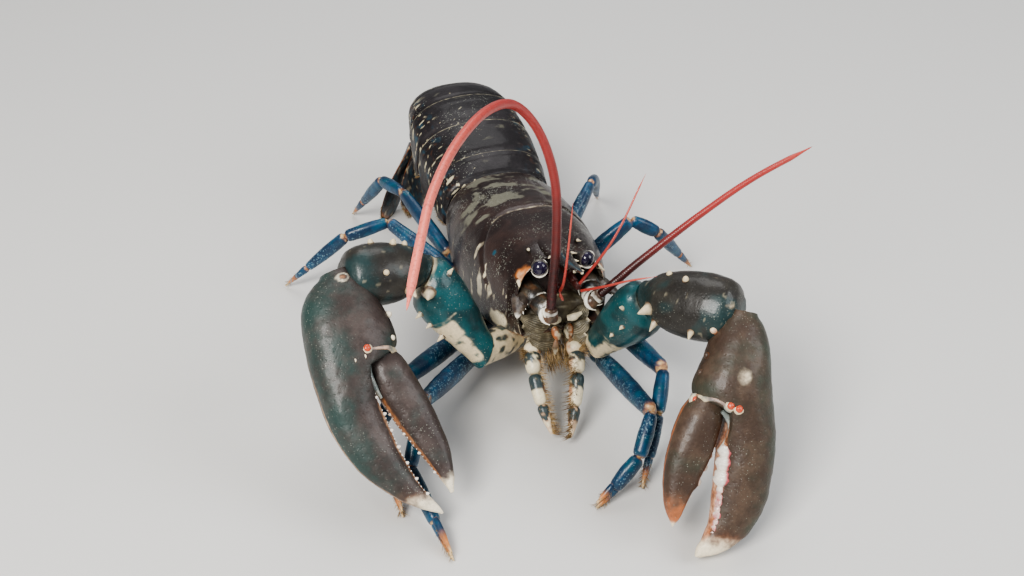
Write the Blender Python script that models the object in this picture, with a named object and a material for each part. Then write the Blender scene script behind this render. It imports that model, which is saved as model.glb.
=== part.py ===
# European lobster, life size, standing on a floor with its claws down in front of it
#
# Sizes are in millimetres and become metres when a mesh is made. The animal faces -Y,
# +Z is up and its own left side is +X. The floor is z = 0, and the origin is on the
# floor in the middle of the space that the whole animal takes up.

import math

import bmesh
import bpy
import numpy as np

MM = 0.001
GAP = 0.3                      # clearance that touching pieces keep
MODEL_SHIFT = np.array((3.8, -33.2, 0.0))   # brings the whole animal's middle to the origin

# Driving dimensions of the body
CARAPACE_LENGTH = 106.0        # orbit to rear edge, along the back
CARAPACE_HALF_WIDTH = 34.5
CARAPACE_DEPTH = 55.0          # back to lower margin at its deepest
CARAPACE_PITCH = 8.6           # degrees, nose up
ORBIT_HEIGHT = 84.0            # back of the orbit above the floor
ROSTRUM_LENGTH = 27.0
EYE_SPACING = 23.5
EYE_DIAMETER = 7.6
ABDOMEN_HALF_WIDTH = 33.0

# Every material: colour, roughness, metallic
COLOURS = {
    "shell": ((0.030, 0.018, 0.017), 0.35),
    "belly": ((0.42, 0.33, 0.24), 0.5),
    "abdomen": ((0.020, 0.017, 0.022), 0.38),
    "tail": ((0.022, 0.022, 0.032), 0.4),
    "claw": ((0.085, 0.055, 0.048), 0.38),
    "arm": ((0.030, 0.085, 0.10), 0.4),
    "leg": ((0.012, 0.060, 0.130), 0.4),
    "eye": ((0.012, 0.010, 0.028), 0.12),
    "stalk": ((0.18, 0.13, 0.10), 0.45),
    "antenna": ((0.62, 0.13, 0.11), 0.45),
    "antennule": ((0.62, 0.06, 0.03), 0.45),
    "mouth": ((0.30, 0.24, 0.17), 0.5),
}

UP = np.array((0.0, 0.0, 1.0))


def clear_scene():
    for old in list(bpy.data.objects):
        bpy.data.objects.remove(old, do_unlink=True)


def unit(vector):
    vector = np.asarray(vector, float)
    return vector / np.linalg.norm(vector)


def material(slot):
    found = bpy.data.materials.get(slot)
    if found:
        return found
    colour, roughness = COLOURS[slot]
    made = bpy.data.materials.new(slot)
    made.use_nodes = True
    shader = made.node_tree.nodes["Principled BSDF"]
    shader.inputs["Base Color"].default_value = (*colour, 1.0)
    shader.inputs["Roughness"].default_value = roughness
    shader.inputs["Metallic"].default_value = 0.0
    return made


# Meshes from rings

def mesh_object(name, slot, form):
    bmesh.ops.recalc_face_normals(form, faces=form.faces)
    mesh = bpy.data.meshes.new(name)
    form.to_mesh(mesh)
    form.free()
    mesh.shade_smooth()
    mesh.set_sharp_from_angle(angle=math.radians(40))
    mesh.materials.append(material(slot))
    made = bpy.data.objects.new(name, mesh)
    bpy.context.collection.objects.link(made)
    return made


def move_row(row, ring):
    for vert, point in zip(row, ring):
        vert.co = (np.asarray(point, float) + MODEL_SHIFT) * MM


def next_row(form, row):
    """Draw a closed row of vertices out into a new row, in the same order."""
    count = len(row)
    edges = [form.edges.get((row[i], row[(i + 1) % count])) for i in range(count)]
    drawn = set(bmesh.ops.extrude_edge_only(form, edges=edges)["geom"])
    return [next(edge.other_vert(vert) for edge in vert.link_edges if edge.other_vert(vert) in drawn)
            for vert in row]


def close_row(form, row, middle):
    """Close a row with a face that is poked out to a middle point or a tip."""
    cap = form.faces.new(row)
    centre = bmesh.ops.poke(form, faces=[cap])["verts"]
    move_row(centre, [middle])


def loft(name, slot, rings, start=None, end=None):
    """Skin a closed body over rings of points; start and end are the cap's middle or tip."""
    form = bmesh.new()
    first = bmesh.ops.create_circle(form, cap_ends=False, segments=len(rings[0]), radius=1.0)["verts"]
    move_row(first, rings[0])
    row = first
    for ring in rings[1:]:
        row = next_row(form, row)
        move_row(row, ring)
    close_row(form, first, np.mean(rings[0], axis=0) if start is None else start)
    close_row(form, row, np.mean(rings[-1], axis=0) if end is None else end)
    bmesh.ops.triangulate(form, faces=form.faces[:], quad_method="SHORT_EDGE")
    return mesh_object(name, slot, form)


def oval(centre, across, upward, half_width, half_height, sides, power=2.0):
    """A ring: an ellipse, or a squarer oval where power is above 2."""
    points = []
    for i in range(sides):
        angle = 2 * math.pi * (i + 0.5) / sides
        c, s = math.cos(angle), math.sin(angle)
        x = math.copysign(abs(c) ** (2 / power), c) * half_width
        y = math.copysign(abs(s) ** (2 / power), s) * half_height
        points.append(np.asarray(centre) + across * x + upward * y)
    return points


def limb(name, slot, path, sizes, sides=10, flat_dir=UP, power=2.2, tip=False, joint_normals=(None,
                                                                                              None)):
    """A jointed limb's solid: path points, with a (half width, half depth) at each."""
    path = [np.asarray(point, float) for point in path]
    steps = [unit(b - a) for a, b in zip(path, path[1:])]
    rings = []
    for i, centre in enumerate(path):
        before = steps[max(i - 1, 0)]
        after = steps[min(i, len(steps) - 1)]
        along = unit(before + after)
        across = unit(np.cross(along, flat_dir))
        upward = np.cross(across, along)
        ring = oval(centre, across, upward, *sizes[i], sides, power)
        normal = joint_normals[0] if i == 0 else joint_normals[1] if i == len(path) - 1 else None
        if normal is not None:
            normal = unit(normal)
            ring = [p + along * (((centre - p) @ normal) / (along @ normal)) for p in ring]
        rings.append(ring)
    if tip:
        return loft(name, slot, rings[:-1], end=path[-1])
    return loft(name, slot, rings)


def cone(base, direction, length, radius, sides=5):
    """A spine or tooth with its root sunk into what it grows from."""
    direction = unit(direction)
    across = unit(np.cross(direction, UP if abs(direction[2]) < 0.9 else (1.0, 0.0, 0.0)))
    upward = np.cross(across, direction)
    base = np.asarray(base, float)
    root = oval(base - direction * radius * 0.9, across, upward, radius, radius, sides)
    foot = oval(base + direction * length * 0.25, across, upward, radius * 0.8, radius * 0.8, sides)
    return loft("form", "shell", [root, foot], end=base + direction * length)


def knob(base, direction, length, radius, sides=6):
    """A blunt tooth or bump with a rounded crown."""
    direction = unit(direction)
    across = unit(np.cross(direction, UP if abs(direction[2]) < 0.9 else (1.0, 0.0, 0.0)))
    upward = np.cross(across, direction)
    base = np.asarray(base, float)
    rings = [oval(base + direction * rise, across, upward, radius * size, radius * size, sides)
             for rise, size in ((-radius * 0.8, 1.0), (length * 0.4, 0.95), (length * 0.85, 0.6))]
    return loft("form", "shell", rings, end=base + direction * length)


def limb_spines(route, sizes, flat_dir, spines, power=2.2):
    """Spines on a straight limb: each is (share of its length, direction it faces, length)."""
    start, end = route[0], route[-1]
    along = unit(end - start)
    across = unit(np.cross(along, flat_dir))
    upward = np.cross(across, along)
    shares = [np.linalg.norm(point - start) / np.linalg.norm(end - start) for point in route]
    forms = []
    for share, facing, length in spines:
        half_width = np.interp(share, shares, [size[0] for size in sizes])
        half_height = np.interp(share, shares, [size[1] for size in sizes])
        facing = unit(facing)
        c, s = facing @ across / half_width, facing @ upward / half_height
        reach = (abs(c) ** power + abs(s) ** power) ** (-1 / power)
        flat = across * (facing @ across) + upward * (facing @ upward)
        root = start + (end - start) * share + flat * reach
        forms.append(cone(root, facing, length, 0.8 + length * 0.17, 6))
    return forms


# Joining and cutting

def replace_mesh(body, mesh):
    old = body.data
    body.data = mesh
    bpy.data.meshes.remove(old)


def keep_largest(body):
    """Keep the largest closed surface of a body."""
    form = bmesh.new()
    form.from_mesh(body.data)
    left = set(form.faces)
    groups = []
    while left:
        stack = [left.pop()]
        group = set(stack)
        while stack:
            for edge in stack.pop().edges:
                for face in edge.link_faces:
                    if face in left:
                        left.discard(face)
                        group.add(face)
                        stack.append(face)
        groups.append(group)
    groups.sort(key=lambda faces: -sum(face.calc_area() for face in faces))
    drop = [face for group in groups[1:] for face in group]
    bmesh.ops.delete(form, geom=drop, context="FACES")
    form.to_mesh(body.data)
    form.free()


def combine(body, others, operation, remove_others, solver="EXACT"):
    gathered = bpy.data.collections.new("forms")
    bpy.context.scene.collection.children.link(gathered)
    for other in others:
        gathered.objects.link(other)
    modifier = body.modifiers.new("join", "BOOLEAN")
    modifier.operation = operation
    modifier.operand_type = "COLLECTION"
    modifier.collection = gathered
    modifier.solver = solver
    graph = bpy.context.evaluated_depsgraph_get()
    mesh = bpy.data.meshes.new_from_object(body.evaluated_get(graph))
    body.modifiers.clear()
    replace_mesh(body, mesh)
    bpy.data.collections.remove(gathered)
    if remove_others:
        for other in others:
            bpy.data.objects.remove(other, do_unlink=True)
    keep_largest(body)
    body.data.shade_smooth()
    body.data.set_sharp_from_angle(angle=math.radians(40))
    while len(body.data.materials) > 1:
        body.data.materials.pop()
    return body


def fuse(body, forms):
    return combine(body, forms, "UNION", True)


def grown(body, gap):
    """A copy of a body that is larger by the gap all round."""
    form = bmesh.new()
    form.from_mesh(body.data)
    form.normal_update()
    moves = [(vert, vert.normal * gap * MM * min(vert.calc_shell_factor(), 2.0)) for vert in form.verts]
    for vert, move in moves:
        vert.co += move
    mesh = bpy.data.meshes.new("cutter")
    form.to_mesh(mesh)
    form.free()
    made = bpy.data.objects.new("cutter", mesh)
    bpy.context.collection.objects.link(made)
    return made


def trim(body, *neighbours, gap=GAP):
    """Cut a body clear of its neighbours by the gap."""
    cutters = [grown(neighbour, gap) for neighbour in neighbours]
    return combine(body, cutters, "DIFFERENCE", True)


def both_sides(point, side):
    return np.array((point[0] * side, point[1], point[2]), float)


# Carapace: one shell over the head and thorax, drawn out in front into the rostrum

pitch = math.radians(CARAPACE_PITCH)
BACKWARD = np.array((0.0, math.cos(pitch), -math.sin(pitch)))
BODY_UP = np.array((0.0, math.sin(pitch), math.cos(pitch)))
ORBIT = np.array((0.0, 0.0, ORBIT_HEIGHT))
SIDEWAYS = np.array((1.0, 0.0, 0.0))


def body_point(across, behind, height):
    return ORBIT + SIDEWAYS * across + BACKWARD * behind + BODY_UP * height


def shaped(value, table):
    """Smooth interpolation through a few (place, size) pairs."""
    places = [pair[0] for pair in table]
    sizes = [pair[1] for pair in table]
    if value <= places[0]:
        return sizes[0]
    if value >= places[-1]:
        return sizes[-1]
    i = next(k for k in range(len(places) - 1) if value <= places[k + 1])
    span = (value - places[i]) / (places[i + 1] - places[i])
    def slope(k):
        if k in (0, len(places) - 1):
            return 0.0
        return (sizes[k + 1] - sizes[k - 1]) / (places[k + 1] - places[k - 1])

    width = places[i + 1] - places[i]
    a, b = slope(i) * width, slope(i + 1) * width
    t2, t3 = span * span, span ** 3
    return (sizes[i] * (2 * t3 - 3 * t2 + 1) + a * (t3 - 2 * t2 + span)
            + sizes[i + 1] * (3 * t2 - 2 * t3) + b * (t3 - t2))


CARAPACE_FRONT = 5.0
HALF_WIDTHS = ((5, 23.0), (12, 26.0), (28, 30.5), (60, CARAPACE_HALF_WIDTH), (90, 33.5), (106, 30.5))
BACK_HEIGHTS = ((5, -1.5), (20, 0.8), (55, 2.6), (90, 1.5), (106, -0.5))
MARGIN_HEIGHTS = ((5, -43.0), (25, -48.0), (60, -CARAPACE_DEPTH + 2.0), (90, -50.0), (106, -44.0))
GROOVE_BEHIND = 50.0
GROOVE_FORWARD_RUN = 26.0
GROOVE_DEPTH = 1.5
GROOVE_HALF_WIDTH = 2.6


def groove_cut(behind, turn):
    """Depth of the cervical groove; turn is 0 on the back and 1 at the widest side."""
    line = GROOVE_BEHIND - GROOVE_FORWARD_RUN * abs(turn) ** 1.4
    fade = max(0.0, 1.0 - max(0.0, abs(turn) - 0.9) * 3)
    return GROOVE_DEPTH * fade * math.exp(-((behind - line) / GROOVE_HALF_WIDTH) ** 2)


def carapace_ring(behind, arch_steps=16):
    half = shaped(behind, HALF_WIDTHS)
    top = shaped(behind, BACK_HEIGHTS)
    margin = shaped(behind, MARGIN_HEIGHTS)
    widest = margin + (top - margin) * 0.40
    points = []
    for i in range(arch_steps + 1):
        turn = -1.0 + 2.0 * i / arch_steps
        angle = turn * math.pi / 2
        power = 2 / 2.35
        x = math.copysign(abs(math.sin(angle)) ** power, angle) * half
        h = widest + (top - widest) * abs(math.cos(angle)) ** power
        cut = groove_cut(behind, turn)
        outward = unit((x, (h - widest) + 1e-6))
        points.append(body_point(x - outward[0] * cut, behind, h - outward[1] * cut))
    for across, level in ((0.985, 0.55), (0.93, 0.12), (0.86, 0.0)):
        points.append(body_point(half * across, behind, margin + (widest - margin) * level))
    points.append(body_point(0.0, behind, margin))
    for across, level in ((-0.86, 0.0), (-0.93, 0.12), (-0.985, 0.55)):
        points.append(body_point(half * across, behind, margin + (widest - margin) * level))
    return points


def make_carapace():
    places = list(np.linspace(CARAPACE_FRONT, CARAPACE_LENGTH, 24))
    rings = [carapace_ring(place) for place in places]
    front_middle = body_point(0.0, CARAPACE_FRONT, -20.0)
    rear_middle = body_point(0.0, CARAPACE_LENGTH, -20.0)
    body = loft("carapace", "shell", rings, start=front_middle, end=rear_middle)
    core = loft("core", "shell", rings, start=front_middle, end=rear_middle)
    forms = [rostrum_blade()]
    for side in (-1, 1):
        for behind, reach in ((-21, 3.4), (-15, 4.0), (-6, 3.2), (2, 4.8)):
            half = rostrum_half_width(behind)
            root = body_point(side * (half - 0.6), behind, rostrum_top(behind) - 1.6)
            forms.append(cone(root, (side * 0.6, -1.0, 0.4), reach, 1.3))
        forms.append(cone(body_point(side * 12.5, 15.0, -1.0), (side * 0.2, -1.0, 0.5), 5.0, 1.5))
        forms.append(cone(body_point(side * 20.0, 8.0, -13.0), (side * 0.3, -1.0, 0.1), 6.5, 1.8))
    return fuse(body, forms), core


def rostrum_half_width(behind):
    return shaped(behind, ((-ROSTRUM_LENGTH, 0.7), (-14, 3.0), (0, 4.9), (14, 7.0), (24, 6.0)))


def rostrum_top(behind):
    return shaped(behind, ((-ROSTRUM_LENGTH, 4.2), (-12, 1.6), (0, 0.2), (14, 1.2), (24, 1.0)))


def rostrum_blade():
    rings = []
    for behind in np.linspace(24, -ROSTRUM_LENGTH + 1.5, 12):
        half = rostrum_half_width(behind)
        top = rostrum_top(behind)
        deep = shaped(behind, ((-ROSTRUM_LENGTH, 1.2), (-10, 3.4), (5, 3.8), (24, 3.0)))
        outline = ((half, -0.35 * deep), (half * 0.8, 0.0), (0.0, -0.9), (-half * 0.8, 0.0),
                   (-half, -0.35 * deep), (-half * 0.5, -deep), (half * 0.5, -deep))
        rings.append([body_point(x, behind, top + h) for x, h in outline])
    tip = body_point(0.0, -ROSTRUM_LENGTH, rostrum_top(-ROSTRUM_LENGTH) + 0.3)
    return loft("form", "shell", rings, end=tip)


# Thorax floor: the sternum between the legs, under the carapace

STERNUM_FRONT = 8.0
STERNUM_REAR = 104.0


def make_thorax():
    rings = []
    for behind in np.linspace(STERNUM_FRONT, STERNUM_REAR, 13):
        half = shaped(behind, ((8, 17.0), (30, 19.0), (80, 21.0), (104, 17.0)))
        top = shaped(behind, MARGIN_HEIGHTS) - GAP - 0.3
        deep = shaped(behind, ((8, 5.0), (25, 8.5), (80, 9.0), (104, 5.0)))
        outline = ((-half, 0.0), (0.0, 0.0), (half, 0.0), (half * 0.98, -deep * 0.45),
                   (half * 0.72, -deep), (0.0, -deep * 0.93), (-half * 0.72, -deep), (-half * 0.98,
                                                                                      -deep * 0.45))
        rings.append([body_point(x, behind, top + h) for x, h in outline])
    return loft("thorax", "belly", rings)


# Abdomen: six rings, each in the wedge between two planes that fan out round the bend

BEND_CENTRE = np.array((177.0, 42.0))
BEND_RADIUS = 39.0
PIVOT_RADIUS = 9.0


def bend_point(angle, radius):
    turn = math.radians(angle)
    return BEND_CENTRE + radius * np.array((math.sin(turn), math.cos(turn)))


# Edge planes of the rings, front to rear: (y, z) on the back, and (y, z) down inside
RING_EDGES = (
    ((105.4, 67.3), (98.9, 24.0)),
    ((121.0, 72.0), (121.0, 26.0)),
    ((147.0, 77.5), (146.0, 31.0)),
    ((171.5, 80.8), (167.0, 37.0)),
    (bend_point(30, BEND_RADIUS), bend_point(-45, PIVOT_RADIUS)),
    (bend_point(64, BEND_RADIUS), bend_point(20, PIVOT_RADIUS)),
    (bend_point(98, BEND_RADIUS - 1.0), bend_point(100, PIVOT_RADIUS)),
)
RING_HALF_WIDTHS = (30.0, 32.0, ABDOMEN_HALF_WIDTH, 31.5, 28.5, 26.0, 25.0)
RING_DEPTHS = (26.0, 28.0, 28.0, 27.0, 25.0, 23.0, 20.0)
SIDE_PLATE_REACH = (0.0, 5.0, 15.0, 14.0, 10.0, 8.0, 5.0)
SIDE_PLATE_POINT = 0.68        # where its point hangs, as a share of the ring's length


def edge_line(place):
    """Back point, inward direction and length at a place from 0 to 6 along the abdomen."""
    i = min(int(place), 5)
    share = place - i
    back_a, inner_a = (np.asarray(p, float) for p in RING_EDGES[i])
    back_b, inner_b = (np.asarray(p, float) for p in RING_EDGES[i + 1])
    back = back_a + (back_b - back_a) * share
    if i >= 3:
        bulge = math.sin(share * math.pi) * 1.6
    else:
        bulge = math.sin(share * math.pi) * 0.5
    inner = inner_a + (inner_b - inner_a) * share
    inward = inner - back
    length = np.linalg.norm(inward)
    inward = inward / length
    return back - inward * bulge, inward, length


def side_plate(number, share):
    """How far the side plate hangs below the ring's belly at a share of its length."""
    reach = SIDE_PLATE_REACH[number]
    run = SIDE_PLATE_POINT if share < SIDE_PLATE_POINT else 1.0 - SIDE_PLATE_POINT
    return reach * max(0.0, 1.0 - abs(share - SIDE_PLATE_POINT) / run) ** 0.75


def abdomen_ring(number, share, shift):
    place = number - 1 + share
    back, inward, length = edge_line(place)
    half = shaped(place, tuple(enumerate(RING_HALF_WIDTHS)))
    depth = min(shaped(place, tuple(enumerate(RING_DEPTHS))), length - 4.0)
    lip = 1.0 if share > 0.75 else 0.0
    half = half - (1.4 if share < 0.2 else 0.0)
    drop = min(depth + side_plate(number, share), length - 1.0)
    points = []
    steps = 12
    for i in range(steps + 1):
        angle = -math.pi / 2 + math.pi * i / steps
        x = math.copysign(abs(math.sin(angle)) ** 0.88, angle) * (half + lip * 0.3)
        down = (1 - abs(math.cos(angle)) ** 0.88) * depth * 0.72 - lip * 0.5
        points.append((x, down))
    points += [(half * 1.02, (depth * 0.72 + drop) / 2), (half * 0.99, drop), (half * 0.91, drop)]
    points += [(half * 0.86, depth), (0.0, depth)]
    points += [(-half * 0.86, depth), (-half * 0.91, drop), (-half * 0.99, drop)]
    points += [(-half * 1.02, (depth * 0.72 + drop) / 2)]
    rearward = np.array((0.0, -inward[1], inward[0])) * shift
    down_dir = np.array((0.0, *inward))
    start = np.array((0.0, *back))
    return [start + SIDEWAYS * x + down_dir * d + rearward for x, d in points]


def make_abdomen():
    made = []
    for number in range(1, 7):
        shares = (0.0, 0.18, 0.36, 0.54, 0.68, 0.84, 1.0)
        rings = []
        for share in shares:
            shift = GAP / 2 if share == 0.0 else -GAP / 2 if share == 1.0 else 0.0
            rings.append(abdomen_ring(number, share, shift))
        made.append(loft(f"abdomen_{number}", "abdomen", rings))
    return made


# Tail fan: the telson in the middle and two lobes on each side

def fan_lobe(name, root, tip, half_root, half_tip, thick, turn=0.0, crown=1.2):
    """A thin lobe from root to tip whose end is rounded, with a low ridge."""
    root, tip = np.asarray(root, float), np.asarray(tip, float)
    along = unit(tip - root)
    across = unit(np.cross(along, (0.0, 0.9, 0.45)))
    across = unit(across - along * (across @ along))
    upward = unit(np.cross(along, across))
    across = across * math.cos(turn) + upward * math.sin(turn)
    upward = np.cross(along, across)
    if upward[1] < 0:
        upward = -upward
    length = np.linalg.norm(tip - root)
    rings = []
    for share in (0.0, 0.18, 0.4, 0.62, 0.8, 0.92, 0.985):
        half = shaped(share, ((0.0, half_root), (0.55, half_tip), (0.8, half_tip), (0.92,
                                                                                    half_tip * 0.8),
                              (0.985, half_tip * 0.5)))
        centre = root + along * length * share
        height = thick * (1.0 - 0.35 * share)
        outline = ((half, 0.0), (half * 0.55, height * 0.5 + crown * 0.5), (0.0, height * 0.5 + crown),
                   (-half * 0.55, height * 0.5 + crown * 0.5), (-half, 0.0), (-half * 0.5,
                                                                              -height * 0.5),
                   (half * 0.5, -height * 0.5))
        rings.append([centre + across * x + upward * h for x, h in outline])
    return loft(name, "tail", rings)


def make_tail(last_ring):
    back, inward, length = edge_line(6.0)
    heading = unit(np.array((0.0, inward[1], -inward[0])))
    if heading[2] > 0:
        heading = -heading
    middle = np.array((0.0, *(back + inward * 9.0)))
    made = []
    floor = 1.0
    telson_root = middle + heading * (GAP + 0.5)
    telson_tip = np.array((0.0, telson_root[1] - 25.0, floor + 0.2))
    telson = fan_lobe("telson", telson_root, telson_tip, 15.0, 15.5, 3.4)
    made.append(telson)
    for side in (-1, 1):
        name = "left" if side > 0 else "right"
        inner_root = middle + SIDEWAYS * side * 19.0 + heading * 1.2 - np.array((0.0, 3.5, 0.0))
        inner_tip = np.array((side * 33.0, telson_tip[1] - 3.0, floor + 1.4))
        outer_root = middle + SIDEWAYS * side * 24.0 + heading * 1.2 - np.array((0.0, 8.5, -2.0))
        outer_tip = np.array((side * 49.0, telson_tip[1] - 4.0, floor + 1.8))
        inner = fan_lobe(f"tail_fan_inner_{name}", inner_root, inner_tip, 4.5, 12.0, 2.6, side * 0.25)
        outer = fan_lobe(f"tail_fan_outer_{name}", outer_root, outer_tip, 4.5, 12.5, 2.6, side * 0.35)
        trim(inner, telson, last_ring)
        trim(outer, inner, last_ring)
        made += [inner, outer]
    trim(telson, last_ring)
    return made


# Eyes on short stalks under the root of the rostrum

def make_eyes(core):
    made = []
    for side in (-1, 1):
        name = "left" if side > 0 else "right"
        centre = np.array((side * EYE_SPACING / 2, 0.0, 80.0))
        radius = EYE_DIAMETER / 2
        gaze = unit((side * 0.45, -1.0, 0.1))
        across = unit(np.cross(gaze, UP))
        upward = np.cross(across, gaze)
        rings = []
        for turn in (-60, -35, -10, 15, 40, 65):
            angle = math.radians(turn)
            place = centre + gaze * radius * math.sin(angle)
            rings.append(oval(place, across, upward, radius * math.cos(angle),
                              radius * math.cos(angle), 14))
        eye = loft(f"eye_{name}", "eye", rings, end=centre + gaze * radius * 0.99)
        stalk_end = centre - gaze * radius * math.sin(math.radians(60)) - gaze * GAP
        stalk_root = np.array((side * 8.0, 9.0, 76.5))
        stalk_rings_path = [stalk_root, (stalk_root + stalk_end) / 2, stalk_end]
        stalk = limb(f"eyestalk_{name}", "stalk", stalk_rings_path, [(2.3, 2.3), (2.3, 2.3), (2.3,
                                                                                              2.3)], 10,
                     joint_normals=(None, gaze))
        trim(stalk, core)
        made += [eye, stalk]
    return made


# Antennae: jointed stem with a side scale, then the long ringed whip

def curve_points(points, count):
    """Points evenly spaced along a smooth curve through the given points."""
    points = [np.asarray(p, float) for p in points]
    padded = [2 * points[0] - points[1], *points, 2 * points[-1] - points[-2]]
    dense = []
    for i in range(1, len(padded) - 2):
        p0, p1, p2, p3 = padded[i - 1:i + 3]
        for k in range(24):
            t = k / 24
            dense.append(0.5 * (2 * p1 + (p2 - p0) * t + (2 * p0 - 5 * p1 + 4 * p2 - p3) * t * t
                                + (3 * p1 - p0 - 3 * p2 + p3) * t ** 3))
    dense.append(points[-1])
    dense = np.array(dense)
    run = np.concatenate(([0.0], np.cumsum(np.linalg.norm(np.diff(dense, axis=0), axis=1))))
    wanted = np.linspace(0.0, run[-1], count)
    return [np.array([np.interp(w, run, dense[:, axis]) for axis in range(3)]) for w in wanted]


def whip(names, slot, points, thick_start, thick_end, count, sides=8):
    """A tapering whip in equal lengths that meet face to face."""
    route = curve_points(points, count)
    made = []
    per = (count - 1) // len(names)
    normal = unit(np.cross(route[1] - route[0], (0.3, 0.4, 0.86)))
    frames = []
    for i, centre in enumerate(route):
        along = unit(route[min(i + 1, count - 1)] - route[max(i - 1, 0)])
        normal = unit(normal - along * (normal @ along))
        frames.append((centre, along, normal, np.cross(along, normal)))
    for k, name in enumerate(names):
        rings = []
        last = (k + 1) * per if k < len(names) - 1 else count - 1
        for i in range(k * per, last + 1):
            centre, along, across, upward = frames[i]
            shift = 0.0
            if i == k * per:
                shift = GAP / 2
            if i == last and k < len(names) - 1:
                shift = -GAP / 2
            radius = (thick_start + (thick_end - thick_start) * i / (count - 1)) / 2
            rings.append(oval(centre + along * shift, across, upward, radius, radius, sides))
        end = None
        if k == len(names) - 1:
            end = route[-1] + frames[-1][1] * thick_end
        made.append(loft(name, slot, rings, end=end))
    return made


ANTENNA_KNEE = {-1: np.array((-9.5, -10.0, 58.5)), 1: np.array((13.0, -9.0, 61.5))}
NECK_LENGTH = 4.0
RIGHT_WHIP = ((-7.0, -9.0, 101.0), (-8.0, -8.0, 132.0), (-16.0, -9.0, 159.0),
              (-30.0, -17.0, 179.0), (-48.0, -37.0, 190.0), (-68.0, -64.0, 194.0), (-85.0, -93.0,
                                                                                    194.0),
              (-97.0, -120.0, 192.0), (-108.0, -146.0, 188.0))
LEFT_WHIP = ((35.0, -11.0, 81.0), (64.0, -9.0, 99.0), (91.0, -8.0, 114.0),
             (118.0, -10.0, 127.0))


def make_antennae(core):
    made = []
    whips = {}
    for side in (-1, 1):
        name = "left" if side > 0 else "right"
        root = np.array((side * 15.0, 8.0, 62.0))
        knee = ANTENNA_KNEE[side]
        whip_points = RIGHT_WHIP if side < 0 else LEFT_WHIP
        neck = unit(np.array(whip_points[0]) - knee)
        end = knee + neck * NECK_LENGTH
        route = [root, root + (knee - root) * 0.45, root + (knee - root) * 0.8, knee + neck * 1.5, end]
        stem = limb(f"antenna_stem_{name}", "stalk", route,
                    [(6.0, 5.5), (6.3, 5.8), (5.0, 4.8), (3.8, 3.6), (3.2, 3.0)], 12,
        joint_normals=(None, neck))
        whip_start = end + neck * GAP
        whips[side] = (whip_start, end + neck * 10.0, *whip_points)
        scale_root = root + np.array((side * 4.5, -4.0, 1.0))
        scale_tip = root + np.array((side * 12.0, -20.0, -1.0))
        scale = limb("form", "stalk", [scale_root, (scale_root + scale_tip) / 2, scale_tip],
                     [(4.5, 1.5), (3.6, 1.2), (0.5, 0.5)], 8, tip=True)
        fuse(stem, [scale])
        trim(stem, core)
        made.append(stem)
    right_names = [f"antenna_right_{k}" for k in (1, 2, 3)]
    made += whip(right_names, "antenna", whips[-1], 4.8, 3.3, 37)
    left_names = [f"antenna_left_{k}" for k in (1, 2)]
    made += whip(left_names, "antenna", whips[1], 4.4, 2.6, 19)
    return made


ANTENNULES = {
    -1: (((-4.5, -12.0, 71.0), (-6.5, -19.0, 84.0), (-5.0, -19.0, 100.0), (-1.0, -13.0, 122.0)),
         ((-5.0, -11.0, 70.0), (-8.0, -22.0, 76.0), (-12.0, -28.0, 86.0))),
    1: (((4.5, -11.0, 71.0), (21.0, -10.0, 96.0), (40.0, 1.0, 121.0)),
        ((5.5, -11.0, 70.0), (14.0, -21.0, 78.0), (22.0, -29.0, 85.0), (31.9, -36.0, 90.0))),
}


def make_antennules(core):
    made = []
    for side in (-1, 1):
        name = "left" if side > 0 else "right"
        stem = limb(f"antennule_{name}", "antennule", [(side * 4.0, 8.0, 71.0), (side * 4.2, -1.0,
                                                                                 71.0),
                    (side * 4.6, -9.5, 71.0)], [(2.2, 2.2), (2.0, 2.0), (1.9, 1.7)], 8)
        long_branch, short_branch = ANTENNULES[side]
        long_branch = [np.array(long_branch[0]) + np.array((0.0, 3.0, -0.5)), *long_branch[1:]]
        fuse(stem, whip(["form"], "antennule", long_branch, 1.7, 0.8, 9, 6))
        trim(stem, core)
        made.append(stem)
        made += whip([f"antennule_{name}_short"], "antennule", short_branch, 1.6, 0.8, 7, 6)
        trim(made[-1], stem)
    return made


# Mouth: the jaws and small feeding limbs, and the third maxillipeds that hang over them

MAXILLIPEDS = {
    -1: ((-8.0, 15.0, 24.0), (-13.0, 4.0, 28.0), (-16.5, -3.5, 32.0), (-18.0, -12.0, 25.0),
         (-18.0, -24.0, 15.0), (-16.5, -35.0, 5.0)),
    1: ((8.0, 15.0, 24.0), (6.5, 1.0, 28.0), (4.5, -10.0, 32.0), (2.0, -19.0, 26.0),
        (-3.0, -30.0, 15.0), (-8.5, -40.0, 5.0)),
}


def make_jaws(core, thorax):
    rings = []
    for share in (-0.95, -0.6, 0.0, 0.6, 0.95):
        size = math.sqrt(1 - share * share)
        centre = np.array((0.0, 3.0, 42.0)) + SIDEWAYS * share * 17.0
        rings.append(oval(centre, np.array((0.0, 1.0, 0.0)), UP, 10.0 * size, 12.0 * size, 12))
    jaws = loft("mouthparts", "mouth", rings)
    return trim(jaws, core, thorax)


def make_maxillipeds(neighbours):
    made = []
    for side in (-1, 1):
        name = "left" if side > 0 else "right"
        route = MAXILLIPEDS[side]
        sizes = [(3.2, 3.6), (4.0, 4.4), (3.8, 4.2), (3.4, 3.6), (3.0, 3.2), (0.9, 1.2)]
        leg = limb(f"maxilliped_{name}", "mouth", route, sizes, 10, flat_dir=(0.0, 1.0, 0.3))
        trim(leg, *neighbours)
        made.append(leg)
    return made


# Claw arms

def claw_frame(wrist, tip, face):
    wrist, tip = np.asarray(wrist, float), np.asarray(tip, float)
    along = unit(tip - wrist)
    face = unit(np.asarray(face, float) - along * (np.asarray(face, float) @ along))
    across = np.cross(face, along)
    return wrist, along, across, face


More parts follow.
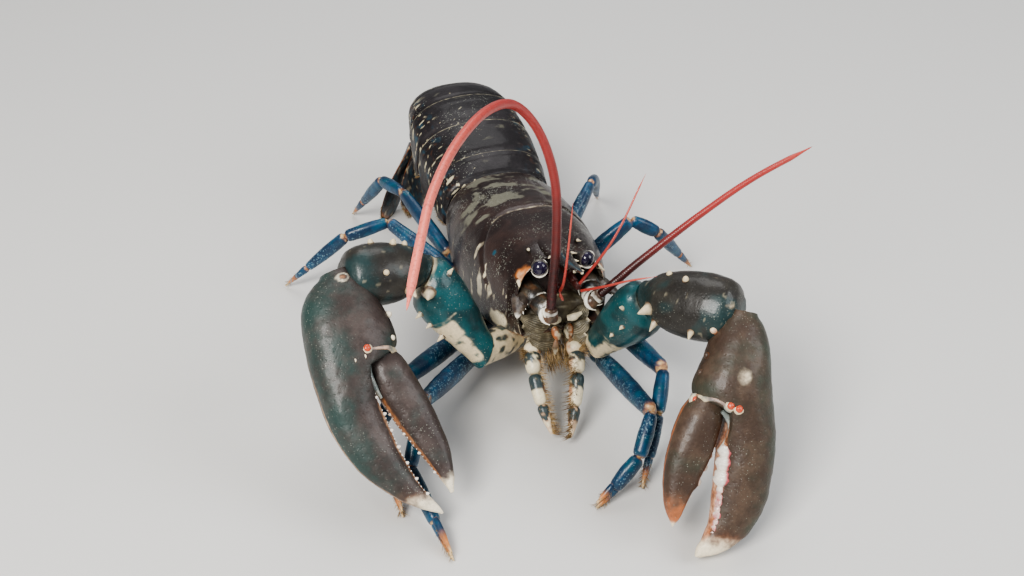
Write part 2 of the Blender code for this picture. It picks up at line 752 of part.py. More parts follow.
def claw_loft(name, frame, places, low_edge, high_edge, thickness, sides):
    """A claw's body or finger between two edges, each a table of (place, size) pairs."""
    wrist, along, across, face = frame
    rings = []
    for place in places:
        low, high = shaped(place, low_edge), shaped(place, high_edge)
        centre = wrist + along * place + across * (low + high) / 2
        half_thick = shaped(place, thickness) / 2
        rings.append(oval(centre, across, face, (high - low) / 2, half_thick, sides, CLAW_SQUARENESS))
    last = low_edge[-1][0]
    tip = wrist + along * last + across * (low_edge[-1][1] + high_edge[-1][1]) / 2
    return loft(name, "claw", rings, end=tip)


CLAW_SQUARENESS = 2.3
CLAWS = {
    "right": {
        "elbow": (-65.0, 17.0, 77.0),
        "wrist": (-104.0, 11.0, 86.0),
        "tip": (-85.0, -75.0, 13.0),
        "length": 114.0,
        "face": (0.1, -0.55, 0.83),
        "outer": ((0, -7.0), (6, -19.0), (24, -28.0), (44, -31.0), (66, -30.5), (86, -25.0),
                  (102, -14.0), (112, -5.0), (116, 0.5)),
        "inner": ((0, 5.0), (8, 13.0), (22, 14.5), (34, 11.0), (38, 4.0), (42, -6.5), (64, -6.0),
                  (86, -5.0), (102, -2.5), (112, 2.0), (116, 2.6)),
        "thick": ((0, 14.0), (10, 25.0), (28, 29.0), (45, 25.0), (70, 18.0), (95, 11.0), (112, 5.0),
                  (116, 2.0)),
        "finger_low": ((37, -1.5), (44, -4.8), (60, -3.4), (75, -0.4), (90, 4.2), (102, 7.8),
                       (109, 9.2)),
        "finger_high": ((37, 10.5), (44, 13.0), (60, 15.4), (75, 17.0), (90, 16.8), (102, 13.8),
                        (109, 11.2)),
        "finger_thick": ((37, 15.0), (50, 17.0), (75, 12.0), (100, 7.0), (109, 2.5)),
    },
    "left": {
        "elbow": (31.0, -34.0, 75.0),
        "wrist": (60.0, -67.0, 83.0),
        "tip": (18.0, -129.0, 3.0),
        "length": 108.0,
        "face": (-0.1, -0.75, 0.66),
        "outer": ((0, -7.0), (8, -15.5), (28, -21.0), (46, -24.5), (66, -26.0), (80, -25.5),
                  (94, -20.0), (103, -12.0), (108, -3.0)),
        "inner": ((0, 5.0), (6, 11.5), (20, 15.0), (33, 17.5), (38, 13.0), (42, 0.0), (58, 0.0),
                  (74, -1.0), (90, -2.0), (100, 0.0), (108, 1.0)),
        "thick": ((0, 15.0), (10, 26.0), (28, 31.0), (50, 28.0), (75, 21.0), (95, 12.0), (104, 7.0),
                  (108, 3.0)),
        "finger_low": ((37, 1.5), (46, 1.8), (60, 2.6), (74, 5.2), (86, 9.4), (97, 12.2)),
        "finger_high": ((37, 16.5), (46, 20.0), (60, 22.0), (74, 22.0), (86, 20.0), (97, 15.0)),
        "finger_thick": ((37, 17.0), (50, 19.0), (70, 14.0), (88, 9.0), (97, 3.0)),
    },
}

ARM_ROOT = (20.0, 15.0, 29.0)
ARM_HIP = {"left": (18.0, -7.0, 33.0), "right": (-40.0, 2.0, 35.0)}


# Spines of the arm and the wrist piece: share of the length, direction they face, length
ARM_SPINES = {
    "right": ((0.9, (-0.3, -0.9, 0.2), 7.0), (0.75, (-0.85, -0.5, -0.2), 4.0), (0.6, (-0.85, -0.5,
                                                                                      -0.2), 3.5),
              (0.42, (-0.8, -0.5, -0.3), 4.5), (0.9, (0.5, -0.2, 0.8), 4.0)),
    "left": ((0.9, (-0.8, -0.3, 0.5), 5.0), (0.72, (-0.8, -0.5, -0.2), 4.0), (0.5, (-0.8, -0.5,
                                                                                    -0.2), 3.5),
             (0.88, (0.6, 0.3, 0.8), 4.0)),
}
WRIST_SPINES = {
    "right": ((0.42, (0.25, 0.25, 0.9), 4.5), (0.24, (0.3, 0.45, 0.8), 4.0), (0.3, (0.2, -0.95,
                                                                                    -0.05), 6.5),
              (0.62, (0.1, -0.8, 0.6), 3.5), (0.55, (-0.1, 0.9, 0.4), 4.0), (0.66, (-0.2, 0.4,
                                                                                    0.9), 3.5)),
    "left": ((0.2, (-0.9, -0.35, 0.1), 8.0), (0.32, (-0.75, -0.5, -0.4), 6.5), (0.66, (-0.6, -0.75,
                                                                                       -0.1), 5.5),
             (0.25, (-0.1, 0.25, 0.95), 4.0), (0.48, (-0.15, -0.1, 0.97), 4.5), (0.6, (0.85, 0.3,
                                                                                       0.4), 4.0)),
}

# Teeth of the claws: place along the claw, height, radius; then bumps: place, turn, height
CLAW_TEETH = {
    "right": {
        "fixed": ((48, 0.7, 1.0), (54, 0.8, 1.1), (60, 1.0, 1.2), (66, 1.4, 1.3), (72, 1.6, 1.4),
                  (78, 2.0, 1.5), (84, 1.8, 1.4), (90, 2.0, 1.4), (96, 1.8, 1.4), (102, 1.8, 1.3)),
        "finger": ((55, 0.6, 1.1), (62, 0.8, 1.2), (69, 1.0, 1.3), (76, 1.6, 1.4), (83, 1.6, 1.4),
                   (90, 2.0, 1.4), (97, 1.6, 1.3)),
        "bumps": ((7, 40, 2.4), (11, 32, 2.6), (15, 30, 2.8), (23, 30, 2.8), (31, 25, 2.6), (12,
                                                                                             -30, 2.6),
                  (25, -30, 2.6)),
    },
    "left": {
        "fixed": ((52, 0.9, 1.9), (58, 1.4, 2.3), (65, 2.2, 2.8), (72.5, 3.6, 3.2), (80, 4.0, 3.1),
                  (87, 3.2, 2.6),
                  (93, 2.6, 2.1), (98, 2.0, 1.7)),
        "finger": ((56, 0.5, 1.5), (63, 0.6, 1.8), (70, 1.0, 2.1), (77, 1.4, 2.2), (84, 1.8, 2.0),
                   (90, 1.6, 1.6)),
        "bumps": ((8, 20, 3.2), (12, 40, 3.0), (18, 30, 3.0), (26, 25, 3.0), (8, -25, 3.0), (20,
                                                                                             -30, 3.0)),
    },
}


def claw_teeth(frame, spec, teeth):
    """Bumps and fixed finger's teeth for a claw's body, and teeth for its moving finger."""
    wrist, along, across, face = frame
    body, finger = [], []
    for place, height, radius in teeth["fixed"]:
        root = wrist + along * place + across * (shaped(place, spec["inner"]) - 0.3)
        body.append(knob(root, across, height + 0.3, radius))
    for place, height, radius in teeth["finger"]:
        root = wrist + along * place + across * (shaped(place, spec["finger_low"]) + 0.3)
        finger.append(knob(root, -across, height + 0.3, radius))
    for place, turn, height in teeth["bumps"]:
        low, high = shaped(place, spec["outer"]), shaped(place, spec["inner"])
        c, s = math.cos(math.radians(turn)), math.sin(math.radians(turn))
        c_reach = math.copysign(abs(c) ** (2 / CLAW_SQUARENESS), c)
        s_reach = math.copysign(abs(s) ** (2 / CLAW_SQUARENESS), s)
        root = (wrist + along * place + across * ((low + high) / 2 + c_reach * (high - low) / 2)
                + face * s_reach * shaped(place, spec["thick"]) / 2)
        body.append(knob(root, across * c + face * s + along * 0.3, height, 2.0))
    return body, finger


def make_claw(side_name, neighbours):
    spec = CLAWS[side_name]
    side = 1 if side_name == "left" else -1
    made = []
    root = both_sides(ARM_ROOT, side)
    hip = np.array(ARM_HIP[side_name])
    elbow = np.array(spec["elbow"])
    wrist = np.array(spec["wrist"])
    shin = unit(hip - root)
    base = limb(f"claw_{side_name}_base", "arm", [root, (root + hip) / 2, hip - shin * GAP],
                [(7.0, 7.5), (7.5, 8.0), (7.0, 8.0)], 12, joint_normals=(None,
                                                                         unit(shin + unit(elbow - hip))))
    trim(base, *neighbours)
    made.append(base)
    # Upper arm, hip to elbow, widest near the elbow
    arm_dir = unit(elbow - hip)
    fore_dir = unit(wrist - elbow)
    hip_plane = unit(shin + arm_dir)
    elbow_plane = unit(arm_dir + fore_dir)
    start = hip + arm_dir * GAP
    end = elbow - arm_dir * 1.5
    route = [start + (end - start) * share for share in (0.0, 0.25, 0.6, 0.9, 1.0)]
    sizes = [(7.0, 8.0), (8.5, 10.0), (10.5, 13.0), (10.0, 13.0), (7.0, 9.0)]
    upper = limb(f"claw_{side_name}_arm", "arm", route, sizes, 14, flat_dir=fore_dir,
                 joint_normals=(hip_plane, elbow_plane))
    fuse(upper, limb_spines(route, sizes, fore_dir, ARM_SPINES[side_name]))
    made.append(upper)
    # Wrist piece, elbow to wrist, a rounded block with spines
    frame = claw_frame(spec["wrist"], spec["tip"], spec["face"])
    start = elbow - arm_dir * 1.5 + fore_dir * (GAP + 0.2)
    end = wrist - fore_dir * 1.0
    route = [start + (end - start) * share for share in (0.0, 0.2, 0.5, 0.8, 1.0)]
    sizes = [(8.0, 8.0), (13.5, 13.0), (17.0, 15.0), (15.5, 14.0), (9.0, 9.0)]
    block = limb(f"claw_{side_name}_wrist", "claw", route, sizes, 14, flat_dir=frame[3],
                 joint_normals=(elbow_plane, None))
    fuse(block, limb_spines(route, sizes, frame[3], WRIST_SPINES[side_name]))
    made.append(block)
    # Claw body with the fixed finger
    if side_name == "left":
        frame = (frame[0], frame[1], -frame[2], frame[3])
    last = spec["outer"][-1][0]
    places = [1.0, 5, 12, 20, 28, 34, 37, 40, 43, 52, 62, 72, 82, 92, 100, 106, last - 1.0]
    claw = claw_loft(f"claw_{side_name}_palm", frame, places, spec["outer"], spec["inner"],
                     spec["thick"], 14)
    # Moving finger
    first, last = spec["finger_low"][0][0], spec["finger_low"][-1][0]
    places = [first, first + 3] + list(np.linspace(first + 8, last - 1, 9))
    finger = claw_loft(f"claw_{side_name}_finger", frame, places, spec["finger_low"],
                       spec["finger_high"],
                       spec["finger_thick"], 12)
    body_forms, finger_forms = claw_teeth(frame, spec, CLAW_TEETH[side_name])
    trim(finger, claw)
    trim(block, claw, upper, *body_forms, gap=1.5 * GAP)
    fuse(claw, body_forms)
    fuse(finger, finger_forms)
    made += [claw, finger]
    return made


# Walking legs: hip to knee, and knee to foot; the first two pairs end in small pincers

LEGS = {
    "leg_1_left": ((18, 30, 16), (22, 0, 15.5), (22, -64, 34), (11, -77, 20), (-12, -84, 1)),
    "leg_2_left": ((18, 47, 18), (34, 20, 22), (37, -42, 38), (28, -58, 26), (13, -79, 1)),
    "leg_3_left": ((18, 62, 20), (36, 62, 32), (62, 62, 52), (77, 60, 42), (108, 76, 1)),
    "leg_4_left": ((18, 78, 20), (34, 88, 30), (58, 112, 46), (66, 126, 38), (82, 160, 1)),
    "leg_1_right": ((-18, 30, 20), (-42, 14, 22), (-77, -24, 34), (-90, -46, 15), (-83, -94, 1)),
    "leg_2_right": ((-18, 46, 20), (-44, 28, 24), (-84, -9, 36), (-100, -27, 26), (-98, -62, 1)),
    "leg_3_right": ((-18, 62, 20), (-34, 74, 30), (-60, 112, 44), (-84, 114, 38), (-118, 130, 1)),
    "leg_4_right": ((-18, 78, 20), (-32, 92, 30), (-46, 136, 46), (-53, 157, 42), (-66, 190, 1)),
}


PINCER_SPREAD = 2.6


def make_leg(name, neighbours):
    hip, thigh, knee, shin, foot = (np.array(p, float) for p in LEGS[name])
    pincer = name[4] in "12"
    upper_dir = unit(knee - thigh)
    lower_dir = unit(shin - knee)
    plane = unit(upper_dir + lower_dir)
    size = 1.0 if pincer else 0.86
    upper_path = [hip, hip + (thigh - hip) * 0.6, thigh, thigh + (knee - thigh) * 0.3,
                  thigh + (knee - thigh) * 0.8, knee - upper_dir * GAP / 2]
    upper_sizes = [(4.2, 4.6), (4.2, 4.6), (4.0, 4.6), (4.0, 5.6), (3.8, 5.4), (3.2, 4.2)]
    upper = limb(f"{name}_upper", "leg", upper_path, [(a * size, b * size) for a, b in upper_sizes], 10,
                 joint_normals=(None, plane))
    lower_path = [knee + lower_dir * GAP / 2, knee + (shin - knee) * 0.5, shin,
                  shin + (foot - shin) * 0.3,
                  shin + (foot - shin) * 0.62, shin + (foot - shin) * 0.9, foot]
    lower_sizes = [(3.0, 3.6), (3.6, 4.4), (3.2, 3.8), (3.4, 4.4), (2.9, 3.6), (1.6, 2.0), (0.8, 0.9)]
    if not pincer:
        lower_sizes[4:] = [(2.2, 2.6), (1.2, 1.4), (0.7, 0.8)]
    if pincer:
        down = unit(foot - shin)
        beside = unit(np.cross(down, unit(np.cross(down, UP)))) * PINCER_SPREAD
        lower_sizes[4:] = [(2.0, 2.2), (1.3, 1.5), (0.6, 0.7)]
        lower_path[4] = lower_path[4] + beside * 0.7
        lower_path[5] = lower_path[5] + beside * 0.8
    lower = limb(f"{name}_lower", "leg", lower_path, [(a * size, b * size) for a, b in lower_sizes], 10,
                 joint_normals=(plane, None))
    if pincer:
        # The moving finger lies beside the fixed one, which is the limb's own end
        down = unit(foot - shin)
        aside = unit(np.cross(down, unit(np.cross(down, UP)))) * PINCER_SPREAD
        base = shin + (foot - shin) * 0.52
        middle = shin + (foot - shin) * 0.78
        finger = limb("form", "leg", [base - aside * 0.4, middle - aside * 1.3,
                                      foot - aside * 1.0 - down * 2.5],
                      [(1.6, 2.2), (1.5, 1.7), (0.6, 0.7)], 8)
        fuse(lower, [finger])
    trim(upper, *neighbours)
    return [upper, lower]


def cut_at_floor(body):
    """Flatten whatever reaches under the floor."""
    form = bmesh.new()
    form.from_mesh(body.data)
    if min(vert.co.z for vert in form.verts) < 0.0:
        geometry = form.verts[:] + form.edges[:] + form.faces[:]
        bmesh.ops.bisect_plane(form, geom=geometry, plane_co=(0, 0, 0), plane_no=(0, 0, 1),
                               clear_inner=True,
                               dist=1e-7)
        border = [edge for edge in form.edges if edge.is_boundary]
        bmesh.ops.holes_fill(form, edges=border, sides=0)
        bmesh.ops.recalc_face_normals(form, faces=form.faces)
        form.to_mesh(body.data)
    form.free()


def build():
    clear_scene()
    carapace, core = make_carapace()
    thorax = make_thorax()
    rings = make_abdomen()
    make_tail(rings[-1])
    make_eyes(core)
    make_antennae(core)
    make_antennules(core)
    jaws = make_jaws(core, thorax)
    left_claw = make_claw("left", (core, thorax, jaws))
    right_claw = make_claw("right", (core, thorax, jaws))
    make_maxillipeds((core, thorax, jaws, *left_claw[:2], *right_claw[:2]))
    for name in LEGS:
        arm = left_claw if name.endswith("left") else right_claw
        make_leg(name, (thorax, core, arm[0]))
    bpy.data.objects.remove(core, do_unlink=True)
    for body in list(bpy.data.objects):
        cut_at_floor(body)


build()
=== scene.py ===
# European lobster, life size, standing still on a plain floor
#
# Points are in millimetres in the animal's own frame. It faces -Y, +Z is up, its own left
# side is +X and the floor is z = 0. They become metres when a mesh is made.

import math
import random

import bmesh
import bpy
import numpy as np
from mathutils import Matrix, Vector, noise


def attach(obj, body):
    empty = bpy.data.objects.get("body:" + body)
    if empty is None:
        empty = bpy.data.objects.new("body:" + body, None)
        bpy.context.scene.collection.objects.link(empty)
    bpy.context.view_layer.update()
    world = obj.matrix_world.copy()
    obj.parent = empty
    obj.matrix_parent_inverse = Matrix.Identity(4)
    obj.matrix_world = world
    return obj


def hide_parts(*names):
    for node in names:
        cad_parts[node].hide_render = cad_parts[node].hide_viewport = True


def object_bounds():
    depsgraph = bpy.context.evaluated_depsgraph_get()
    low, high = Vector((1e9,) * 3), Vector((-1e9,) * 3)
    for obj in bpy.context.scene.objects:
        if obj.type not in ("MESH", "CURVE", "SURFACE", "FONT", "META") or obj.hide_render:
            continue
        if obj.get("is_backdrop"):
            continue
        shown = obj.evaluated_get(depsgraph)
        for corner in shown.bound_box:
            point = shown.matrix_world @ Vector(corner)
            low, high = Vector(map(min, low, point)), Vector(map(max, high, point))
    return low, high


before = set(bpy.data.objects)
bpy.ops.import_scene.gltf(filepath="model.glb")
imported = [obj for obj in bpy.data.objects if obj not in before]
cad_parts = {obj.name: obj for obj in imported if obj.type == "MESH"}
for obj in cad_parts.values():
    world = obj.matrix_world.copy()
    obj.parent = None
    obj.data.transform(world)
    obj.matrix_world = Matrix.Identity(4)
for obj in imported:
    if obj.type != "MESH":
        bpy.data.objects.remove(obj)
cad_low, cad_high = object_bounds()

MM = 0.001
WHOLE_SHIFT = np.array((3.8, -33.2, 0.0))      # from the animal's eye line to the frame's middle
UP = np.array((0.0, 0.0, 1.0))
SIDEWAYS = np.array((1.0, 0.0, 0.0))


# Floor, light and camera
#
# A plain pale floor, large soft lamps above and around the animal, and the photo's own
# view: from in front of it and to its right, looking down.

VIEW_TURN = math.radians(-18.0)
VIEW_HEIGHT = math.radians(37.0)
FOCAL_PIXELS = 1300.0
FRAME_WIDTH, FRAME_HEIGHT = 1024, 576
EYES_AT_PIXEL = (563.0, 263.0)
EYES_MIDDLE = np.array((0.0, 0.0, 80.0))
EYES_DEPTH = 618.0

sight = np.array((-math.sin(VIEW_TURN) * math.cos(VIEW_HEIGHT),
                  math.cos(VIEW_TURN) * math.cos(VIEW_HEIGHT), -math.sin(VIEW_HEIGHT)))
right = np.array((math.cos(VIEW_TURN), math.sin(VIEW_TURN), 0.0))
above = np.cross(right, sight)
off_right = (EYES_AT_PIXEL[0] - FRAME_WIDTH / 2) / FOCAL_PIXELS * EYES_DEPTH
off_up = (FRAME_HEIGHT / 2 - EYES_AT_PIXEL[1]) / FOCAL_PIXELS * EYES_DEPTH
stand = EYES_MIDDLE + WHOLE_SHIFT - sight * EYES_DEPTH - right * off_right - above * off_up

camera_data = bpy.data.cameras.new("camera")
camera_data.sensor_width = 36.0
camera_data.lens = 36.0 * FOCAL_PIXELS / FRAME_WIDTH
camera_data.clip_start = 0.01
camera = bpy.data.objects.new("camera", camera_data)
camera.matrix_world = Matrix((
    (right[0], above[0], -sight[0], stand[0] * MM),
    (right[1], above[1], -sight[1], stand[1] * MM),
    (right[2], above[2], -sight[2], stand[2] * MM),
    (0.0, 0.0, 0.0, 1.0)))
bpy.context.scene.collection.objects.link(camera)
bpy.context.scene.camera = camera

world = bpy.data.worlds.new("studio")
world.use_nodes = True
world.node_tree.nodes["Background"].inputs["Color"].default_value = (0.93, 0.95, 1.0, 1.0)
world.node_tree.nodes["Background"].inputs["Strength"].default_value = 0.30
bpy.context.scene.world = world
bpy.context.scene.view_settings.look = "AgX - Medium High Contrast"

LAMPS = (
    ("lamp_front_left", (-0.75, -0.65, 1.0), 0.55, 22.0, (1.0, 0.98, 0.94)),
    ("lamp_front_right", (0.85, -0.55, 0.8), 0.7, 7.5, (0.95, 0.98, 1.0)),
    ("lamp_behind", (0.25, 0.75, 1.35), 0.9, 8.0, (1.0, 1.0, 1.0)),
)
for lamp_name, lamp_place, lamp_size, lamp_power, lamp_colour in LAMPS:
    lamp_data = bpy.data.lights.new(lamp_name, "AREA")
    lamp_data.shape = "SQUARE"
    lamp_data.size = lamp_size
    lamp_data.energy = lamp_power
    lamp_data.color = lamp_colour
    lamp = bpy.data.objects.new(lamp_name, lamp_data)
    lamp.location = lamp_place
    aim = Vector((0.0, 0.0, 0.05)) - Vector(lamp_place)
    lamp.rotation_euler = aim.to_track_quat("-Z", "Y").to_euler()
    bpy.context.scene.collection.objects.link(lamp)

floor_form = bmesh.new()
bmesh.ops.create_grid(floor_form, x_segments=8, y_segments=8, size=4.0)
floor_mesh = bpy.data.meshes.new("floor")
floor_form.to_mesh(floor_mesh)
floor_form.free()
floor = bpy.data.objects.new("floor", floor_mesh)
floor_paint = bpy.data.materials.new("pale_floor")
floor_paint.use_nodes = True
floor_paint.node_tree.nodes["Principled BSDF"].inputs["Base Color"].default_value = (0.66, 0.65, 0.63, 1.0)
floor_paint.node_tree.nodes["Principled BSDF"].inputs["Roughness"].default_value = 0.75
floor_mesh.materials.append(floor_paint)
bpy.context.scene.collection.objects.link(floor)
floor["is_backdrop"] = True


# Carapace
#
# One glossy shell of chitin over the head and thorax, almost black-brown, crossed by the
# cervical groove and drawn out in front into the toothed rostrum. Silt lies on its rear half.

CARAPACE_LENGTH = 106.0
CARAPACE_DEPTH = 55.0
CARAPACE_FRONT = 5.0
ROSTRUM_LENGTH = 27.0
ORBIT = np.array((0.0, 0.0, 84.0))
pitch = math.radians(8.6)
BACKWARD = np.array((0.0, math.cos(pitch), -math.sin(pitch)))
BODY_UP = np.array((0.0, math.sin(pitch), math.cos(pitch)))
HALF_WIDTHS = ((5, 23.0), (12, 26.0), (28, 30.5), (60, 34.5), (90, 33.5), (106, 30.5))
BACK_HEIGHTS = ((5, -1.5), (20, 0.8), (55, 2.6), (90, 1.5), (106, -0.5))
MARGIN_HEIGHTS = ((5, -43.0), (25, -48.0), (60, 2.0 - CARAPACE_DEPTH), (90, -50.0), (106, -44.0))
PLAIN = (0.0, 0.0, 0.0, 0.0)                   # markings: cream, orange, blue, silt
CREAM = (1.0, 0.0, 0.0, 0.0)


def unit(vector):
    vector = np.asarray(vector, float)
    return vector / np.linalg.norm(vector)


def body_point(across, behind, height):
    return ORBIT + SIDEWAYS * across + BACKWARD * behind + BODY_UP * height


def shaped(value, table):
    """Smooth interpolation through a few (place, size) pairs."""
    places = [pair[0] for pair in table]
    sizes = [pair[1] for pair in table]
    if value <= places[0]:
        return sizes[0]
    if value >= places[-1]:
        return sizes[-1]
    i = next(k for k in range(len(places) - 1) if value <= places[k + 1])
    width = places[i + 1] - places[i]
    share = (value - places[i]) / width

    def slope(k):
        if k in (0, len(places) - 1):
            return 0.0
        return (sizes[k + 1] - sizes[k - 1]) / (places[k + 1] - places[k - 1])

    squared, cubed = share ** 2, share ** 3
    return (sizes[i] * (2 * cubed - 3 * squared + 1) + slope(i) * width * (cubed - 2 * squared + share)
            + sizes[i + 1] * (3 * squared - 2 * cubed) + slope(i + 1) * width * (cubed - squared))


def rise(value, low, high):
    """0 below low, 1 above high, and a smooth step between them."""
    share = min(max((value - low) / (high - low), 0.0), 1.0)
    return share * share * (3 - 2 * share)


def oval(centre, across, upward, half_width, half_height, sides, power=2.0):
    points = []
    for i in range(sides):
        turn = 2 * math.pi * (i + 0.5) / sides
        c, s = math.cos(turn), math.sin(turn)
        x = math.copysign(abs(c) ** (2 / power), c) * half_width
        y = math.copysign(abs(s) ** (2 / power), s) * half_height
        points.append(np.asarray(centre) + across * x + upward * y)
    return points


def skin(form, rings, paint=PLAIN, start=None, end=None):
    """Draw a circle out through rings of points, close both ends and paint every point."""
    layers = form.verts.layers.float_color
    marks = layers.get("markings") or layers.new("markings")
    count = len(rings[0])
    row = bmesh.ops.create_circle(form, cap_ends=False, segments=count, radius=1.0)["verts"]
    first = row
    for number, ring in enumerate(rings):
        if number:
            edges = [form.edges.get((row[i], row[i - 1])) for i in range(count)]
            drawn = set(bmesh.ops.extrude_edge_only(form, edges=edges)["geom"])
            row = [next(edge.other_vert(vert) for edge in vert.link_edges
                        if edge.other_vert(vert) in drawn)
                   for vert in row]
        for i in range(count):
            row[i].co = (ring[i] + WHOLE_SHIFT) * MM
            share = number / max(len(rings) - 1, 1)
            row[i][marks] = paint(ring[i], share, i / count) if callable(paint) else paint
    for side, ring, middle, share in ((first, rings[0], start, 0.0), (row, rings[-1], end, 1.0)):
        middle = np.mean(ring, axis=0) if middle is None else np.asarray(middle, float)
        hub = bmesh.ops.poke(form, faces=[form.faces.new(side)])["verts"][0]
        hub.co = (middle + WHOLE_SHIFT) * MM
        hub[marks] = paint(middle, share, 0.0) if callable(paint) else paint


def spine(form, base, direction, length, radius, tip=CREAM, foot=PLAIN, sides=10, curl=0.0):
    """A pointed spine with a spread foot, sunk a little into the shell, pale towards its tip."""
    direction = unit(direction)
    across = unit(np.cross(direction, UP if abs(direction[2]) < 0.9 else SIDEWAYS))
    upward = np.cross(across, direction)
    base = np.asarray(base, float)
    rings = []
    for share, size in ((-0.15, 1.35), (0.05, 1.08), (0.2, 0.85), (0.45, 0.62), (0.7, 0.4), (0.9, 0.18)):
        centre = base + direction * length * share + upward * curl * length * share * share
        rings.append(oval(centre, across, upward, radius * size, radius * size, sides))
    foot, tip = np.array(foot), np.array(tip)
    skin(form, rings, lambda point, share, turn: tuple(foot + (tip - foot) * rise(share, 0.15, 0.6)),
         end=base + direction * length + upward * curl * length)


def knob(form, base, direction, length, radius, tip=CREAM, foot=PLAIN, sides=12):
    """A blunt bump or tooth with a rounded crown."""
    direction = unit(direction)
    across = unit(np.cross(direction, UP if abs(direction[2]) < 0.9 else SIDEWAYS))
    upward = np.cross(across, direction)
    rings = []
    for share, size in ((-0.3, 1.2), (0.0, 1.05), (0.3, 0.98), (0.6, 0.82), (0.85, 0.52), (0.96, 0.26)):
        rings.append(oval(base + direction * length * share, across, upward, radius * size,
                          radius * size, sides))
    foot, tip = np.array(foot), np.array(tip)
    skin(form, rings, lambda point, share, turn: tuple(foot + (tip - foot) * rise(share, 0.1, 0.5)),
         end=base + direction * length)


def roughen(form, depth, size):
    """Move the surface in and out a little, as grown shell is never quite even."""
    form.normal_update()
    moves = []
    for vert in form.verts:
        push = noise.noise(vert.co / (size * MM)) + 0.5 * noise.noise(vert.co / (size * 0.35 * MM))
        moves.append(vert.normal * push * depth * MM)
    for vert, move in zip(form.verts, moves):
        vert.co += move


def put(form, name, material, nodes=(), sharp=60):
    """Turn a finished form into a piece that rides with the body and stands for its nodes."""
    bmesh.ops.recalc_face_normals(form, faces=form.faces)
    for vert in form.verts:
        vert.co.z = max(vert.co.z, 0.0)
    mesh = bpy.data.meshes.new(name)
    form.to_mesh(mesh)
    form.free()
    mesh.shade_smooth()
    mesh.set_sharp_from_angle(angle=math.radians(sharp))
    mesh.materials.append(material)
    piece = bpy.data.objects.new(name, mesh)
    bpy.context.scene.collection.objects.link(piece)
    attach(piece, "root")
    if nodes:
        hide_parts(*nodes)
    return piece


def add_node(tree, kind, settings=(), inputs=()):
    """A shader node with its settings, and its inputs set to values or linked to sockets."""
    made = tree.nodes.new(kind)
    for key, value in dict(settings).items():
        setattr(made, key, value)
    for key, value in dict(inputs).items():
        if isinstance(value, bpy.types.NodeSocket):
            tree.links.new(value, made.inputs[key])
        else:
            made.inputs[key].default_value = value
    return made


def stepped(tree, value, low, high):
    """A smooth step from 0 at low to 1 at high."""
    return add_node(tree, "ShaderNodeMapRange", {"interpolation_type": "SMOOTHSTEP"},
                    {"Value": value, "From Min": low, "From Max": high}).outputs["Result"]


def reckon(tree, operation, first, second=0.0):
    return add_node(tree, "ShaderNodeMath", {"operation": operation}, {0: first, 1: second}).outputs[0]


def mixed(tree, share, first, second):
    return add_node(tree, "ShaderNodeMix", {"data_type": "RGBA"},
                    {"Factor": share, "A": first, "B": second}).outputs["Result"]


